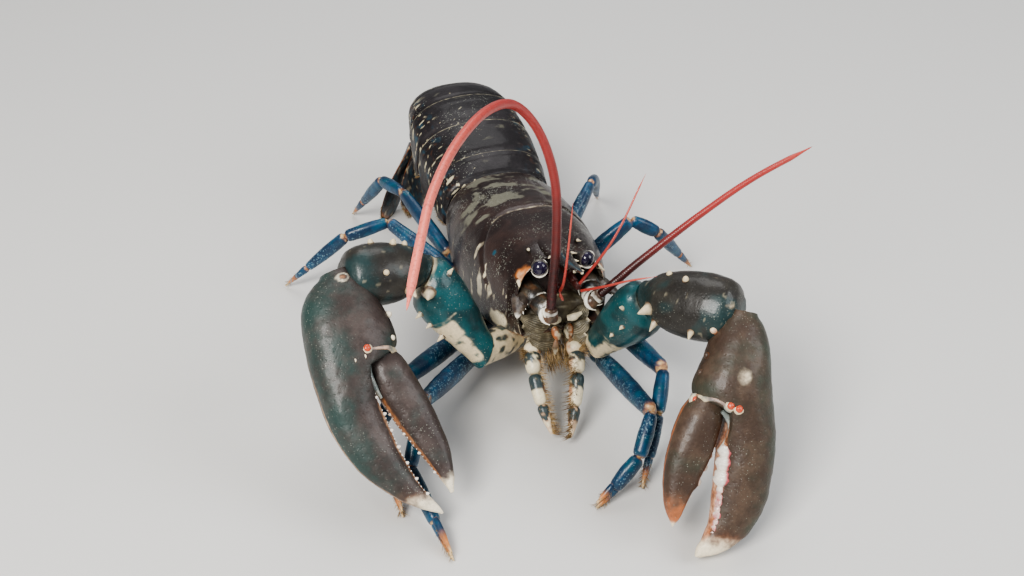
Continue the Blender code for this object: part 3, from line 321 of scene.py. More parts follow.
def build_shell_group():
    """Chitin: a dark mottled ground with fine pale specks, and the painted markings on it."""
    group = bpy.data.node_groups.new("grown_shell", "ShaderNodeTree")
    face = group.interface
    face.new_socket("Place", in_out="INPUT", socket_type="NodeSocketVector")
    face.new_socket("Markings", in_out="INPUT", socket_type="NodeSocketColor")
    face.new_socket("Silt", in_out="INPUT", socket_type="NodeSocketFloat")
    for title in ("Dark", "Mottle", "Speck", "Cream", "Orange", "Blue", "Silt Colour"):
        face.new_socket(title, in_out="INPUT", socket_type="NodeSocketColor")
    for title, usual in (("Mottle Scale", 70.0), ("Mottle Amount", 1.0), ("Speck Scale", 1300.0),
                         ("Speck Amount", 0.5), ("Base Roughness", 0.3)):
        face.new_socket(title, in_out="INPUT", socket_type="NodeSocketFloat").default_value = usual
    face.new_socket("Color", in_out="OUTPUT", socket_type="NodeSocketColor")
    face.new_socket("Roughness", in_out="OUTPUT", socket_type="NodeSocketFloat")
    face.new_socket("Height", in_out="OUTPUT", socket_type="NodeSocketFloat")
    given = group.nodes.new("NodeGroupInput").outputs
    place = given["Place"]

    broad = add_node(group, "ShaderNodeTexNoise", {},
                     {"Vector": place, "Scale": given["Mottle Scale"], "Detail": 5.0, "Roughness": 0.62})
    fine = add_node(group, "ShaderNodeTexNoise", {}, {"Vector": place, "Scale": 900.0, "Detail": 3.0})
    ragged = add_node(group, "ShaderNodeTexNoise", {}, {"Vector": place, "Scale": 260.0, "Detail": 4.0})
    mottle = stepped(group, broad.outputs["Fac"], 0.42, 0.66)
    mottle = reckon(group, "MULTIPLY", mottle, given["Mottle Amount"])
    colour = mixed(group, mottle, given["Dark"], given["Mottle"])

    uneven = reckon(group, "MULTIPLY", reckon(group, "SUBTRACT", ragged.outputs["Fac"], 0.5), 7.0)
    parts = add_node(group, "ShaderNodeSeparateColor", {}, {"Color": given["Markings"]}).outputs
    masks = {}
    for title, part, ragged_by, low, high in (("Blue", parts["Blue"], 0.5, 0.0, 1.25),
                                              ("Orange", parts["Green"], 0.5, 0.0, 1.0),
                                              ("Cream", parts["Red"], 0.7, 0.08, 0.9)):
        border = reckon(group, "MULTIPLY", part, reckon(group, "SUBTRACT", 1.0, part))
        border = reckon(group, "MULTIPLY", border, ragged_by)
        spread = reckon(group, "ADD", part, reckon(group, "MULTIPLY", uneven, border))
        masks[title] = stepped(group, spread, low, high)
        colour = mixed(group, masks[title], colour, given[title])

    cells = add_node(group, "ShaderNodeTexVoronoi", {}, {"Vector": place, "Scale": given["Speck Scale"]})
    chance = add_node(group, "ShaderNodeSeparateColor", {},
                      {"Color": cells.outputs["Color"]}).outputs["Red"]
    crowd = add_node(group, "ShaderNodeTexNoise", {}, {"Vector": place, "Scale": 38.0, "Detail": 2.0})
    reach = reckon(group, "MULTIPLY", reckon(group, "POWER", chance, 3.0), given["Speck Amount"])
    reach = reckon(group, "MULTIPLY", reach, stepped(group, crowd.outputs["Fac"], 0.36, 0.64))
    speck = reckon(group, "LESS_THAN", cells.outputs["Distance"], reach)
    colour = mixed(group, reckon(group, "MULTIPLY", speck, 0.75), colour, given["Speck"])

    border = reckon(group, "MULTIPLY", given["Silt"], reckon(group, "SUBTRACT", 1.0, given["Silt"]))
    silt = reckon(group, "ADD", given["Silt"], reckon(group, "MULTIPLY", uneven, border))
    silt = stepped(group, silt, 0.2, 0.9)
    colour = mixed(group, reckon(group, "MULTIPLY", silt, 0.8), colour, given["Silt Colour"])
    shade = add_node(group, "ShaderNodeHueSaturation", {},
                     {"Color": colour, "Value": reckon(group, "ADD", 0.75, reckon(group, "MULTIPLY",
                      fine.outputs["Fac"], 0.5))})

    rough = reckon(group, "ADD", given["Base Roughness"], reckon(group, "MULTIPLY", silt, 0.35))
    rough = reckon(group, "ADD", rough, reckon(group, "MULTIPLY", fine.outputs["Fac"], 0.12))
    rough = reckon(group, "ADD", rough, reckon(group, "MULTIPLY", masks["Cream"], 0.08))
    pits = add_node(group, "ShaderNodeTexVoronoi", {}, {"Vector": place, "Scale": 520.0})
    pit = stepped(group, pits.outputs["Distance"], 0.05, 0.35)
    height = reckon(group, "ADD", reckon(group, "MULTIPLY", pit, 0.5), reckon(group, "MULTIPLY",
                    fine.outputs["Fac"], 0.5))
    height = reckon(group, "ADD", height, reckon(group, "MULTIPLY", broad.outputs["Fac"], 0.8))
    result = group.nodes.new("NodeGroupOutput")
    group.links.new(shade.outputs["Color"], result.inputs["Color"])
    group.links.new(rough, result.inputs["Roughness"])
    group.links.new(height, result.inputs["Height"])
    return group


SHELL_GROUP = build_shell_group()
SHELL_COLOURS = {
    "Speck": (0.24, 0.25, 0.21), "Cream": (0.68, 0.57, 0.38), "Orange": (0.52, 0.18, 0.05),
    "Blue": (0.010, 0.075, 0.11), "Silt Colour": (0.15, 0.145, 0.11),
}


def shell_material(name, dark, mottle, relief=0.3, coat=0.35, sheen=0.5, numbers=(), **changed):
    """A chitin material: the shell group with this piece's own colours, under a thin gloss."""
    made = bpy.data.materials.new(name)
    made.use_nodes = True
    tree = made.node_tree
    shader = tree.nodes["Principled BSDF"]
    place = tree.nodes.new("ShaderNodeTexCoord").outputs["Object"]
    painted = add_node(tree, "ShaderNodeAttribute", {"attribute_name": "markings"})
    colours = {**SHELL_COLOURS, "Dark": dark, "Mottle": mottle, **changed}
    inputs = {title.replace("_", " "): (*colour, 1.0) for title, colour in colours.items()}
    grown = add_node(tree, "ShaderNodeGroup", {"node_tree": SHELL_GROUP},
                     {"Place": place, "Markings": painted.outputs["Color"],
                      "Silt": painted.outputs["Alpha"],
                      **inputs, **dict(numbers)})
    bump = add_node(tree, "ShaderNodeBump", {}, {"Strength": relief, "Distance": 0.0006,
                                                 "Height": grown.outputs["Height"]})
    tree.links.new(grown.outputs["Color"], shader.inputs["Base Color"])
    tree.links.new(grown.outputs["Roughness"], shader.inputs["Roughness"])
    tree.links.new(bump.outputs["Normal"], shader.inputs["Normal"])
    shader.inputs["Coat Weight"].default_value = coat
    shader.inputs["Coat Roughness"].default_value = 0.12
    shader.inputs["Specular IOR Level"].default_value = sheen
    return made


def neck_line(turn):
    """Where the cervical groove lies; turn is 0 on the back and 1 at the widest side."""
    return shaped(abs(turn), ((0, 54.0), (0.3, 53.5), (0.55, 46.0), (0.8, 35.0), (1.1, 22.0)))


def groove_cut(behind, turn):
    """Depth of the grooves in the shell at a place on the back."""
    fade = 1.0 - rise(abs(turn), 0.9, 1.2)
    cut = 1.1 * fade * math.exp(-((behind - neck_line(turn)) / 1.7) ** 2)
    cut += 0.4 * math.exp(-(turn / 0.02) ** 2) * rise(behind, 25.0, 40.0)
    cut += 0.4 * math.exp(-((abs(turn) - 0.16 - 0.001 * behind) / 0.03) ** 2) * rise(behind, 56.0, 64.0)
    return cut


def carapace_ring(behind, arch_steps=96):
    half = shaped(behind, HALF_WIDTHS)
    top = shaped(behind, BACK_HEIGHTS)
    margin = shaped(behind, MARGIN_HEIGHTS)
    widest = margin + (top - margin) * 0.40
    points = []
    for i in range(arch_steps + 1):
        turn = -1.0 + 2.0 * i / arch_steps
        angle = turn * math.pi / 2
        power = 2 / 2.35
        x = math.copysign(abs(math.sin(angle)) ** power, angle) * half
        h = widest + (top - widest) * abs(math.cos(angle)) ** power
        cut = groove_cut(behind, turn)
        outward = unit((x, h - widest + 1e-6))
        points.append(body_point(x - outward[0] * cut, behind, h - outward[1] * cut))
    lower = ((0.997, 0.85), (0.994, 0.7), (0.985, 0.55), (0.97, 0.4), (0.952, 0.25), (0.93, 0.12),
             (0.9, 0.03),
             (0.86, 0.0), (0.6, 0.0), (0.3, 0.0))
    for across, level in lower:
        points.append(body_point(half * across, behind, margin + (widest - margin) * level))
    points.append(body_point(0.0, behind, margin))
    for across, level in reversed(lower):
        points.append(body_point(-half * across, behind, margin + (widest - margin) * level))
    return points


# The large white spot low on the right flank, which the fine streaks keep clear of
SPOT_BEHIND, SPOT_HEIGHT = 21.6, -39.4
SPOT_HALF_LENGTH = 9.2
CLEAR_HALF_HEIGHT = 8.0
# Pale patches on the flanks: side, behind, height, half length, half height and how pale
FLANK_PATCHES = (
    (-1, SPOT_BEHIND, SPOT_HEIGHT, SPOT_HALF_LENGTH, 5.2, 1.0), (-1, 37.5, -28.0, 3.0, 7.5, 0.8),
    (-1, 27.1, -24.8, 2.2, 4.8, 0.55), (-1, 33.3, -18.0, 1.2, 4.5, 0.95),
    (-1, 46.0, -13.0, 1.4, 5.0, 0.5), (-1, 48.0, -33.0, 1.4, 5.0, 0.5),
    (1, 22.0, -34.0, 5.0, 4.0, 0.9), (1, 38.0, -27.0, 2.6, 6.0, 0.65), (1, 52.0, -18.0, 1.4, 4.0, 0.5),
)
PATCH_LEAN = 0.3
INSIDE_SHARE = 0.974                            # the last few rings line the shell's front opening


def carapace_paint(point, share, turn):
    offset = point - ORBIT
    if share > INSIDE_SHARE:
        fleck = noise.noise(Vector(point) / 2.5)
        return (0.55 * rise(fleck, 0.2, 0.4), 0.12, 0.35 * rise(-fleck, 0.0, 0.3),
                0.65 * rise(fleck, -0.3, 0.3))
    across, behind, height = offset[0], offset @ BACKWARD, offset @ BODY_UP
    margin = shaped(behind, MARGIN_HEIGHTS)
    turned = min(math.atan2(abs(across), height - margin * 0.6) / (math.pi / 2), 1.1)
    cream = 0.0
    for side, patch_behind, patch_height, long, tall, pale in FLANK_PATCHES:
        if side * across > 8.0:
            lean = PATCH_LEAN * (behind - patch_behind)
            away = math.hypot((behind - patch_behind) / long, (height - patch_height + lean) / tall)
            cream = max(cream, pale * (1 - rise(away, 0.7, 1.15)))
    streak = noise.noise(Vector((behind / 1.5, height / 5.0, side_of(across))))
    off_spot = math.hypot((behind - SPOT_BEHIND) / SPOT_HALF_LENGTH,
                          (height - SPOT_HEIGHT) / CLEAR_HALF_HEIGHT)
    clear = rise(off_spot, 1.1, 1.5) if across < 0 else 1.0
    fading = 1 - 0.45 * rise(behind, 50.0, 80.0)
    cream = max(cream, 0.8 * rise(streak, 0.37, 0.50) * rise(-height, 14.0, 26.0) * fading * clear)
    neck = neck_line(turned)
    groove_lip = 0.42 * math.exp(-((behind - neck - 0.4) / 0.6) ** 2)
    cream = max(cream, groove_lip * (1 - rise(turned, 0.35, 0.7)))
    cream = max(cream, 0.28 * rise(behind, 104.8, 105.6))
    cheek_behind, cheek_height = (5.0, -9.5) if across < 0 else (5.0, -14.5)
    cheek = math.hypot((behind - cheek_behind) / 6.6, (height - cheek_height) / 4.3)
    cheek += 0.22 * noise.noise(Vector((behind, height, 9.3)) / 2.2)
    orange = 0.85 * (1 - rise(cheek, 0.6, 1.15))
    cream = max(cream, 0.38 * (1 - rise(cheek, 0.3, 1.0)))
    orange = max(orange, 0.5 * (1 - rise(height - margin, 0.5, 1.6)))
    blue = 0.45 * rise(-height, 30.0, 48.0)
    teal = math.dist((across, behind, height), (-25.0, 31.5, -7.9)) / 1.7
    blue = max(blue, 1.0 - rise(teal, 0.6, 1.2))
    bend_across = noise.noise(Vector((across / 11.0, behind / 11.0, 0.4)))
    bend_behind = noise.noise(Vector((across / 11.0, behind / 11.0, 7.4)))
    drift = noise.noise(Vector(((across + 6.0 * bend_across) / 15.0, (behind + 3.5 * bend_behind) / 7.5,
                                2.0)))
    drift += 0.28 * noise.noise(Vector((across / 3.0, behind / 2.4, 0.3)))
    saddle = 1 - rise(abs(across + 5.0), 20.0, 31.0)
    silt = 0.9 * rise(drift, -0.16, 0.30) * rise(behind, 55.0, 62.0) * saddle
    return (cream, orange, blue, silt)


def side_of(across):
    return 4.0 if across > 0 else 0.0


def rostrum_half_width(behind):
    return shaped(behind, ((-ROSTRUM_LENGTH, 0.7), (-14, 3.0), (0, 4.9), (14, 7.0), (24, 6.0)))


def rostrum_top(behind):
    return shaped(behind, ((-ROSTRUM_LENGTH, 4.2), (-12, 1.6), (0, 0.2), (14, 1.2), (24, 1.0)))


def rostrum_paint(point, share, turn):
    along = (point - ORBIT) @ BACKWARD
    middle = math.exp(-(point[0] / 0.6) ** 2) * (1 - rise(along, -2.0, 12.0))
    return (0.9 * rise(-along, 25.6, 26.6), 0.2 * rise(-along, 20.0, 25.0), 0.85 * middle, 0.0)


carapace_form = bmesh.new()
rows = [CARAPACE_LENGTH - 0.15, *np.linspace(CARAPACE_LENGTH - 0.6, CARAPACE_FRONT + 0.9, 118),
        CARAPACE_FRONT + 0.3]
rings = [carapace_ring(behind) for behind in rows]
face_middle = body_point(0.0, 0.0, -20.0)
edge_ring = np.array(carapace_ring(CARAPACE_FRONT + 0.1))
for inward, shrink in ((0.0, 0.985), (0.8, 0.95), (4.0, 0.92), (10.0, 0.88)):
    backward = BACKWARD * (inward + 5.0 * (1 - shrink))
    rings.append(list(face_middle + (edge_ring - face_middle) * shrink + backward))
skin(carapace_form, rings, carapace_paint, end=body_point(0.0, 18.0, -20.0))
roughen(carapace_form, 0.16, 7.0)

rings = []
for behind in np.linspace(23.5, -ROSTRUM_LENGTH + 1.0, 40):
    half = rostrum_half_width(behind)
    top = rostrum_top(behind)
    deep = shaped(behind, ((-ROSTRUM_LENGTH, 1.2), (-10, 3.4), (5, 3.8), (24, 3.0)))
    outline = []
    for i in range(24):
        turn = 2 * math.pi * i / 24
        x = math.cos(turn) * half
        h = math.sin(turn) * deep * (0.45 if math.sin(turn) > 0 else 0.62) - 0.38 * deep
        if math.sin(turn) > 0:
            h -= 0.55 * math.exp(-(x / (0.35 * half)) ** 2)
        outline.append(body_point(x, behind, top + h))
    rings.append(outline)
skin(carapace_form, rings, rostrum_paint,
     end=body_point(0.0, -ROSTRUM_LENGTH + 0.2, rostrum_top(-ROSTRUM_LENGTH) + 0.2))
for side in (-1, 1):
    for behind, reach in ((-19.5, 2.4), (-12.5, 3.0), (-4.5, 3.0), (4, 4.2)):
        root = body_point(side * (rostrum_half_width(behind) - 0.5), behind, rostrum_top(behind) - 1.5)
        spine(carapace_form, root, (side * 0.75, -1.0, 0.45), reach, 0.85)
    spine(carapace_form, body_point(side * 12.5, 15.0, -1.0), (side * 0.2, -1.0, 0.5), 4.2, 0.9)
    spine(carapace_form, body_point(side * 20.0, 8.0, -13.0), (side * 0.3, -1.0, 0.1), 6.3, 1.5,
          foot=(0.0, 0.3, 0.0, 0.0))
SHELL = shell_material("carapace_shell", (0.016, 0.0085, 0.0070), (0.036, 0.019, 0.015), relief=0.22,
                       coat=0.25,
                       sheen=0.35, Cream=(0.80, 0.70, 0.50), Silt_Colour=(0.17, 0.165, 0.125),
                       numbers={"Mottle Scale": 60.0, "Speck Scale": 1500.0, "Speck Amount": 0.78,
                                "Base Roughness": 0.33})
put(carapace_form, "carapace_shell", SHELL, ["carapace"])


# Sternum
#
# The pale floor of the thorax between the legs, made of narrow plates, with the legs'
# sockets along both sides. It closes the carapace from below.

thorax_form = bmesh.new()
rings = []
for behind in np.linspace(8.2, 103.8, 60):
    half = shaped(behind, ((8, 17.0), (30, 19.0), (80, 21.0), (104, 17.0)))
    top = shaped(behind, MARGIN_HEIGHTS) - 0.7
    deep = shaped(behind, ((8, 5.0), (25, 8.5), (80, 9.0), (104, 5.0)))
    deep *= 0.95 - 0.06 * math.cos((behind - 22.0) / 15.5 * 2 * math.pi)
    outline = []
    for x, h in ((-1.0, 0.0), (-0.5, 0.0), (0.0, 0.0), (0.5, 0.0), (1.0, 0.0), (1.0, -0.25), (0.97, -0.5),
                 (0.86, -0.8), (0.7, -0.98), (0.4, -1.0), (0.12, -0.93), (0.0, -0.85), (-0.12, -0.93),
                 (-0.4, -1.0), (-0.7, -0.98), (-0.86, -0.8), (-0.97, -0.5), (-1.0, -0.25)):
        outline.append(body_point(x * half, behind, top + h * deep))
    rings.append(outline)
skin(thorax_form, rings, (0.5, 0.25, 0.25, 0.0))
BELLY = shell_material("sternum_shell", (0.10, 0.060, 0.035), (0.26, 0.18, 0.11), coat=0.15)
put(thorax_form, "sternum_plates", BELLY, ["thorax"])


# Abdomen
#
# Six overlapping rings of blue-black shell that slide into each other, with a pointed plate
# hanging down each side. Cream and teal flecks gather on the sides, and each has a pale rim.

BEND_CENTRE = np.array((177.0, 42.0))
BEND_RADIUS = 39.0
PIVOT_RADIUS = 9.0


def bend_point(angle, radius):
    turn = math.radians(angle)
    return BEND_CENTRE + radius * np.array((math.sin(turn), math.cos(turn)))


RING_EDGES = (
    ((105.4, 67.3), (98.9, 24.0)),
    ((121.0, 72.0), (121.0, 26.0)),
    ((147.0, 77.5), (146.0, 31.0)),
    ((171.5, 80.8), (167.0, 37.0)),
    (bend_point(30, BEND_RADIUS), bend_point(-45, PIVOT_RADIUS)),
    (bend_point(64, BEND_RADIUS), bend_point(20, PIVOT_RADIUS)),
    (bend_point(98, BEND_RADIUS - 1.0), bend_point(100, PIVOT_RADIUS)),
)
RING_HALF_WIDTHS = (30.0, 32.0, 33.0, 31.5, 28.5, 26.0, 25.0)
RING_DEPTHS = (26.0, 28.0, 28.0, 27.0, 25.0, 23.0, 20.0)
SIDE_PLATE_REACH = (0.0, 5.0, 15.0, 14.0, 10.0, 8.0, 5.0)
SIDE_PLATE_POINT = 0.68


def edge_line(place):
    """Back point, inward direction and length at a place from 0 to 6 along the abdomen."""
    i = min(int(place), 5)
    share = place - i
    back_a, inner_a = (np.asarray(p, float) for p in RING_EDGES[i])
    back_b, inner_b = (np.asarray(p, float) for p in RING_EDGES[i + 1])
    back = back_a + (back_b - back_a) * share
    bulge = math.sin(share * math.pi) * (1.6 if i >= 3 else 0.5)
    inward = inner_a + (inner_b - inner_a) * share - back
    length = np.linalg.norm(inward)
    return back - inward / length * bulge, inward / length, length


RING_STEPS = 104                                # steps over the back of one ring of the abdomen
PLATE_EDGE_STEPS = 17                           # from there down to the edge of the side plate


def abdomen_ring(number, share, steps=RING_STEPS):
    back, inward, length = edge_line(number - 1 + share)
    place = number - 1 + share
    half = shaped(place, tuple(enumerate(RING_HALF_WIDTHS)))
    depth = min(shaped(place, tuple(enumerate(RING_DEPTHS))), length - 4.0)
    lip = 0.45 * rise(share, 0.72, 0.8)
    half = half - 1.0 * (1 - rise(share, 0.14, 0.24))
    run = SIDE_PLATE_POINT if share < SIDE_PLATE_POINT else 1.0 - SIDE_PLATE_POINT
    hang = SIDE_PLATE_REACH[number] * max(0.0, 1.0 - abs(share - SIDE_PLATE_POINT) / run) ** 0.75
    drop = min(depth + hang, length - 1.0)
    points = []
    for i in range(steps + 1):
        angle = -math.pi / 2 + math.pi * i / steps
        x = math.copysign(abs(math.sin(angle)) ** 0.88, angle) * (half + lip * 0.3)
        down = (1 - abs(math.cos(angle)) ** 0.88) * depth * 0.72 - lip * 0.5
        if share < 0.2:
            down += 0.5 * (1 - rise(share, 0.1, 0.2))
        points.append((x, down))
    side = []
    for level in np.linspace(0.07, 0.97, 16):
        bow = 1.0 + 0.025 * math.sin(level * math.pi)
        side.append((half * bow, depth * 0.72 + (drop - depth * 0.72) * level))
    side += [(half * 0.97, drop), (half * 0.93, drop - 0.2), (half * 0.90, drop - 1.6),
             (half * 0.86, depth)]
    points += side + [(half * 0.5, depth + 0.6), (0.0, depth + 0.8), (-half * 0.5, depth + 0.6)]
    points += [(-x, down) for x, down in reversed(side)]
    start = np.array((0.0, *back))
    downward = np.array((0.0, *inward))
    return [start + SIDEWAYS * x + downward * d for x, d in points]


def abdomen_paint(point, share, turn):
    x, y, z = point
    rim = 0.42 * rise(share, 0.955, 0.975)
    long_fleck = noise.noise(Vector((y / 1.9, z / 5.5, x / 5.5)))
    round_fleck = noise.noise(Vector(point) / 2.3)
    side = rise(abs(x), 15.0, 28.0)
    cream = rise(long_fleck, 0.32, 0.46) * side * (0.95 if x < 0 else 0.45)
    cream = max(cream, 0.8 * rise(round_fleck, 0.50, 0.60) * rise(-x, -10.0, 16.0))
    teal = noise.noise(Vector(point) / 5.0 + Vector((9.0, 0.0, 0.0)))
    blue = 0.7 * rise(teal, 0.2, 0.5) * rise(abs(x), 8.0, 30.0)
    blue = max(blue, rise(30.0 + 0.36 * (min(y, 165.0) - 120.0) - z, 0.0, 9.0) * 0.6)
    golden = 0.15 * rise(round_fleck, 0.1, 0.4) * side
    silt = 0.35 * rise(noise.noise(Vector((x / 9.0, y / 3.0, 5.0))), 0.25, 0.5) * (1 - side)
    return (max(cream, rim), golden, blue, silt)


ABDOMEN = shell_material("abdomen_shell", (0.010, 0.008, 0.009), (0.023, 0.019, 0.021), relief=0.25,
                         coat=0.12,
                         sheen=0.3, Blue=(0.010, 0.055, 0.085), Cream=(0.50, 0.45, 0.31),
                         numbers={"Mottle Scale": 55.0, "Speck Amount": 0.45, "Base Roughness": 0.42})
for number in range(1, 7):
    ring_form = bmesh.new()
    shares = [0.012, *np.linspace(0.03, 0.96, 34), 0.975, 0.988]
    skin(ring_form, [abdomen_ring(number, share) for share in shares], abdomen_paint)
    roughen(ring_form, 0.12, 6.0)
    put(ring_form, f"abdomen_ring_{number}", ABDOMEN, [f"abdomen_{number}"])


# Tail fan
#
# The telson in the middle and two flat lobes on each side, folded down under the body. They
# are thin blue-black shell with low ridges, and a fringe of setae along the rear edge.

FLOOR_TOUCH = 1.0
FRINGE_COUNT = 150
BAKE_PATCH = 0.003                              # how wide each seta's patch of the map OFBake is


def fan_lobe(form, root, tip, half_root, half_tip, thick, turn=0.0, crown=1.2, ribs=0.0, sides=40):
    root, tip = np.asarray(root, float), np.asarray(tip, float)
    along = unit(tip - root)
    across = unit(np.cross(along, (0.0, 0.9, 0.45)))
    upward = unit(np.cross(along, across))
    across = across * math.cos(turn) + upward * math.sin(turn)
    upward = np.cross(along, across)
    if upward[1] < 0:
        upward = -upward
    length = np.linalg.norm(tip - root)
    rings = []
    for share in (*np.linspace(0.0, 0.9, 24), 0.93, 0.955, 0.975, 0.99):
        half = shaped(share, ((0.0, half_root), (0.55, half_tip), (0.8, half_tip), (0.92, half_tip * 0.8),
                              (0.985, half_tip * 0.5)))
        height = thick * (1.0 - 0.35 * share)
        centre = root + along * length * share
        ring = []
        for i in range(sides):
            angle = 2 * math.pi * i / sides
            x = math.cos(angle)
            top = math.sin(angle) > 0
            h = math.sin(angle) * height * 0.5 + (crown * (1 - x * x) if top else 0.0)
            if top and ribs:
                groove = 0.5 * ribs * math.exp(-(x / 0.08) ** 2)
                h += ribs * math.exp(-((abs(x) - 0.42) / 0.07) ** 2) - groove
            ring.append(centre + across * x * half + upward * h)
        rings.append(ring)

    def paint(point, share, turn_share):
        edge = abs(math.cos(2 * math.pi * turn_share))
        fleck = noise.noise(Vector(point) / 3.0)
        orange = max(0.55 * rise(share, 0.86, 0.98), 0.4 * rise(edge, 0.93, 1.0))
        return (0.5 * rise(fleck, 0.25, 0.45), orange, 0.8 * rise(-fleck, -0.1, 0.3), 0.0)

    skin(form, rings, paint)
    return centre, along, across, upward


def bristle(form, root, direction, length, width, spot):
    """One seta: a thin three-sided point, slightly bent. Its spot is its root's place on an
    unwrap of the skin that it grows from, and the patch there is kept in its markings."""
    direction = unit(direction)
    across = unit(np.cross(direction, (0.31, 0.52, 0.8)))
    upward = np.cross(across, direction)
    rings = [oval(root, across, upward, width, width, 3),
             oval(root + direction * length * 0.55 + upward * length * 0.06, across, upward,
                  width * 0.6, width * 0.6, 3)]
    skin(form, rings,
         lambda point, share, turn: (spot[0] + BAKE_PATCH * (share - 0.5),
                                     spot[1] + BAKE_PATCH * (turn - 0.5), 0.0, 0.0),
         end=root + direction * length + upward * length * 0.16)


def put_setae(form, name):
    """Lay every seta's patch out in the map named OFBake and finish the piece."""
    marks = form.verts.layers.float_color["markings"]
    bake_map = form.loops.layers.uv.new("OFBake")
    for face in form.faces:
        for loop in face.loops:
            loop[bake_map].uv = loop.vert[marks][:2]
    put(form, name, SETAE)


def setae_material():
    """Golden-brown bristles in darker and paler streaks."""
    made = bpy.data.materials.new("setae")
    made.use_nodes = True
    tree = made.node_tree
    shader = tree.nodes["Principled BSDF"]
    place = tree.nodes.new("ShaderNodeTexCoord").outputs["Object"]
    streak = add_node(tree, "ShaderNodeTexNoise", {}, {"Vector": place, "Scale": 350.0, "Detail": 2.0})
    colour = mixed(tree, stepped(tree, streak.outputs["Fac"], 0.35, 0.65), (0.14, 0.080, 0.030, 1.0),
                   (0.38, 0.26, 0.12, 1.0))
    tree.links.new(colour, shader.inputs["Base Color"])
    shader.inputs["Roughness"].default_value = 0.5
    return made


SETAE = setae_material()
random.seed(11)
TAIL = shell_material("tail_shell", (0.011, 0.011, 0.016), (0.030, 0.030, 0.038), relief=0.3, coat=0.4,
                      numbers={"Mottle Scale": 80.0, "Speck Amount": 0.4, "Base Roughness": 0.3})
back, inward, length = edge_line(6.0)
heading = unit(np.array((0.0, inward[1], -inward[0])))
if heading[2] > 0:
    heading = -heading
fan_middle = np.array((0.0, *(back + inward * 9.0)))
telson_root = fan_middle + heading * 0.8
telson_tip = np.array((0.0, telson_root[1] - 25.0, FLOOR_TOUCH + 0.2))
tail_setae = bmesh.new()
lobes = [("telson", telson_root, telson_tip, 15.0, 15.5, 3.4, 0.0, "telson")]
for side in (-1, 1):
    word = "left" if side > 0 else "right"
    lobes.append((f"tail_fan_inner_{word}", fan_middle + SIDEWAYS * side * 19.0 + heading * 1.2
                  - np.array((0.0, 3.5, 0.0)),
                  (side * 33.0, telson_tip[1] - 3.0, FLOOR_TOUCH + 1.4), 4.5, 12.0, 2.6, side * 0.25,
                  f"tail_fan_inner_{word}"))
    lobes.append((f"tail_fan_outer_{word}", fan_middle + SIDEWAYS * side * 24.0 + heading * 1.2
                  - np.array((0.0, 8.5, -2.0)),
                  (side * 49.0, telson_tip[1] - 4.0, FLOOR_TOUCH + 1.8), 4.5, 12.5, 2.6, side * 0.35,
                  f"tail_fan_outer_{word}"))
for strip, (lobe_name, root, tip, half_root, half_tip, thick, turn, node_name) in enumerate(lobes):
    lobe_form = bmesh.new()
    end, along, across, upward = fan_lobe(lobe_form, root, tip, half_root, half_tip, thick, turn, ribs=0.5)
    roughen(lobe_form, 0.1, 4.0)
    put(lobe_form, f"{lobe_name}_lobe", TAIL, [node_name])
    for spread in (-1.0 + 2.0 * k / (FRINGE_COUNT - 1) for k in range(FRINGE_COUNT)):
        spot = ((strip + 0.5 + 0.45 * spread) / len(lobes), 0.95 - 0.25 * spread * spread)
        point = end - along * (half_tip * 0.5 * spread * spread) + across * half_tip * 0.86 * spread
        aim = along + across * spread * 0.5 + upward * random.uniform(-0.08, 0.08)
        bristle(tail_setae, point, aim, random.uniform(3.0, 4.6) * (1.0 - 0.3 * spread * spread), 0.16,
                spot)
put_setae(tail_setae, "tail_fan_setae")


# Eyes
#
# Two round blue-black eyes on short mottled stalks under the root of the rostrum. The
# cornea is smooth and wet, and a pale crescent of shell holds it from below.

EYE_SPACING = 23.5
EYE_DIAMETER = 7.6

EYE = bpy.data.materials.new("eye_cornea")
EYE.use_nodes = True
eye_tree = EYE.node_tree
eye_shader = eye_tree.nodes["Principled BSDF"]
eye_place = eye_tree.nodes.new("ShaderNodeTexCoord").outputs["Object"]
facets = add_node(eye_tree, "ShaderNodeTexVoronoi", {}, {"Vector": eye_place, "Scale": 4200.0})
depth = add_node(eye_tree, "ShaderNodeTexNoise", {}, {"Vector": eye_place, "Scale": 160.0})
eye_colour = mixed(eye_tree, stepped(eye_tree, depth.outputs["Fac"], 0.35, 0.7),
                   (0.006, 0.005, 0.016, 1.0),
                   (0.022, 0.014, 0.045, 1.0))
eye_tree.links.new(eye_colour, eye_shader.inputs["Base Color"])
eye_bump = add_node(eye_tree, "ShaderNodeBump", {}, {"Strength": 0.08, "Distance": 0.0001,
                                                     "Height": facets.outputs["Distance"]})
eye_tree.links.new(eye_bump.outputs["Normal"], eye_shader.inputs["Normal"])
eye_shader.inputs["Roughness"].default_value = 0.12
eye_shader.inputs["Coat Weight"].default_value = 0.5
eye_shader.inputs["Coat Roughness"].default_value = 0.06
STALK = shell_material("stalk_shell", (0.022, 0.017, 0.013), (0.085, 0.068, 0.048), coat=0.3,
                       Cream=(0.84, 0.80, 0.70), numbers={"Mottle Scale": 180.0, "Base Roughness": 0.3})


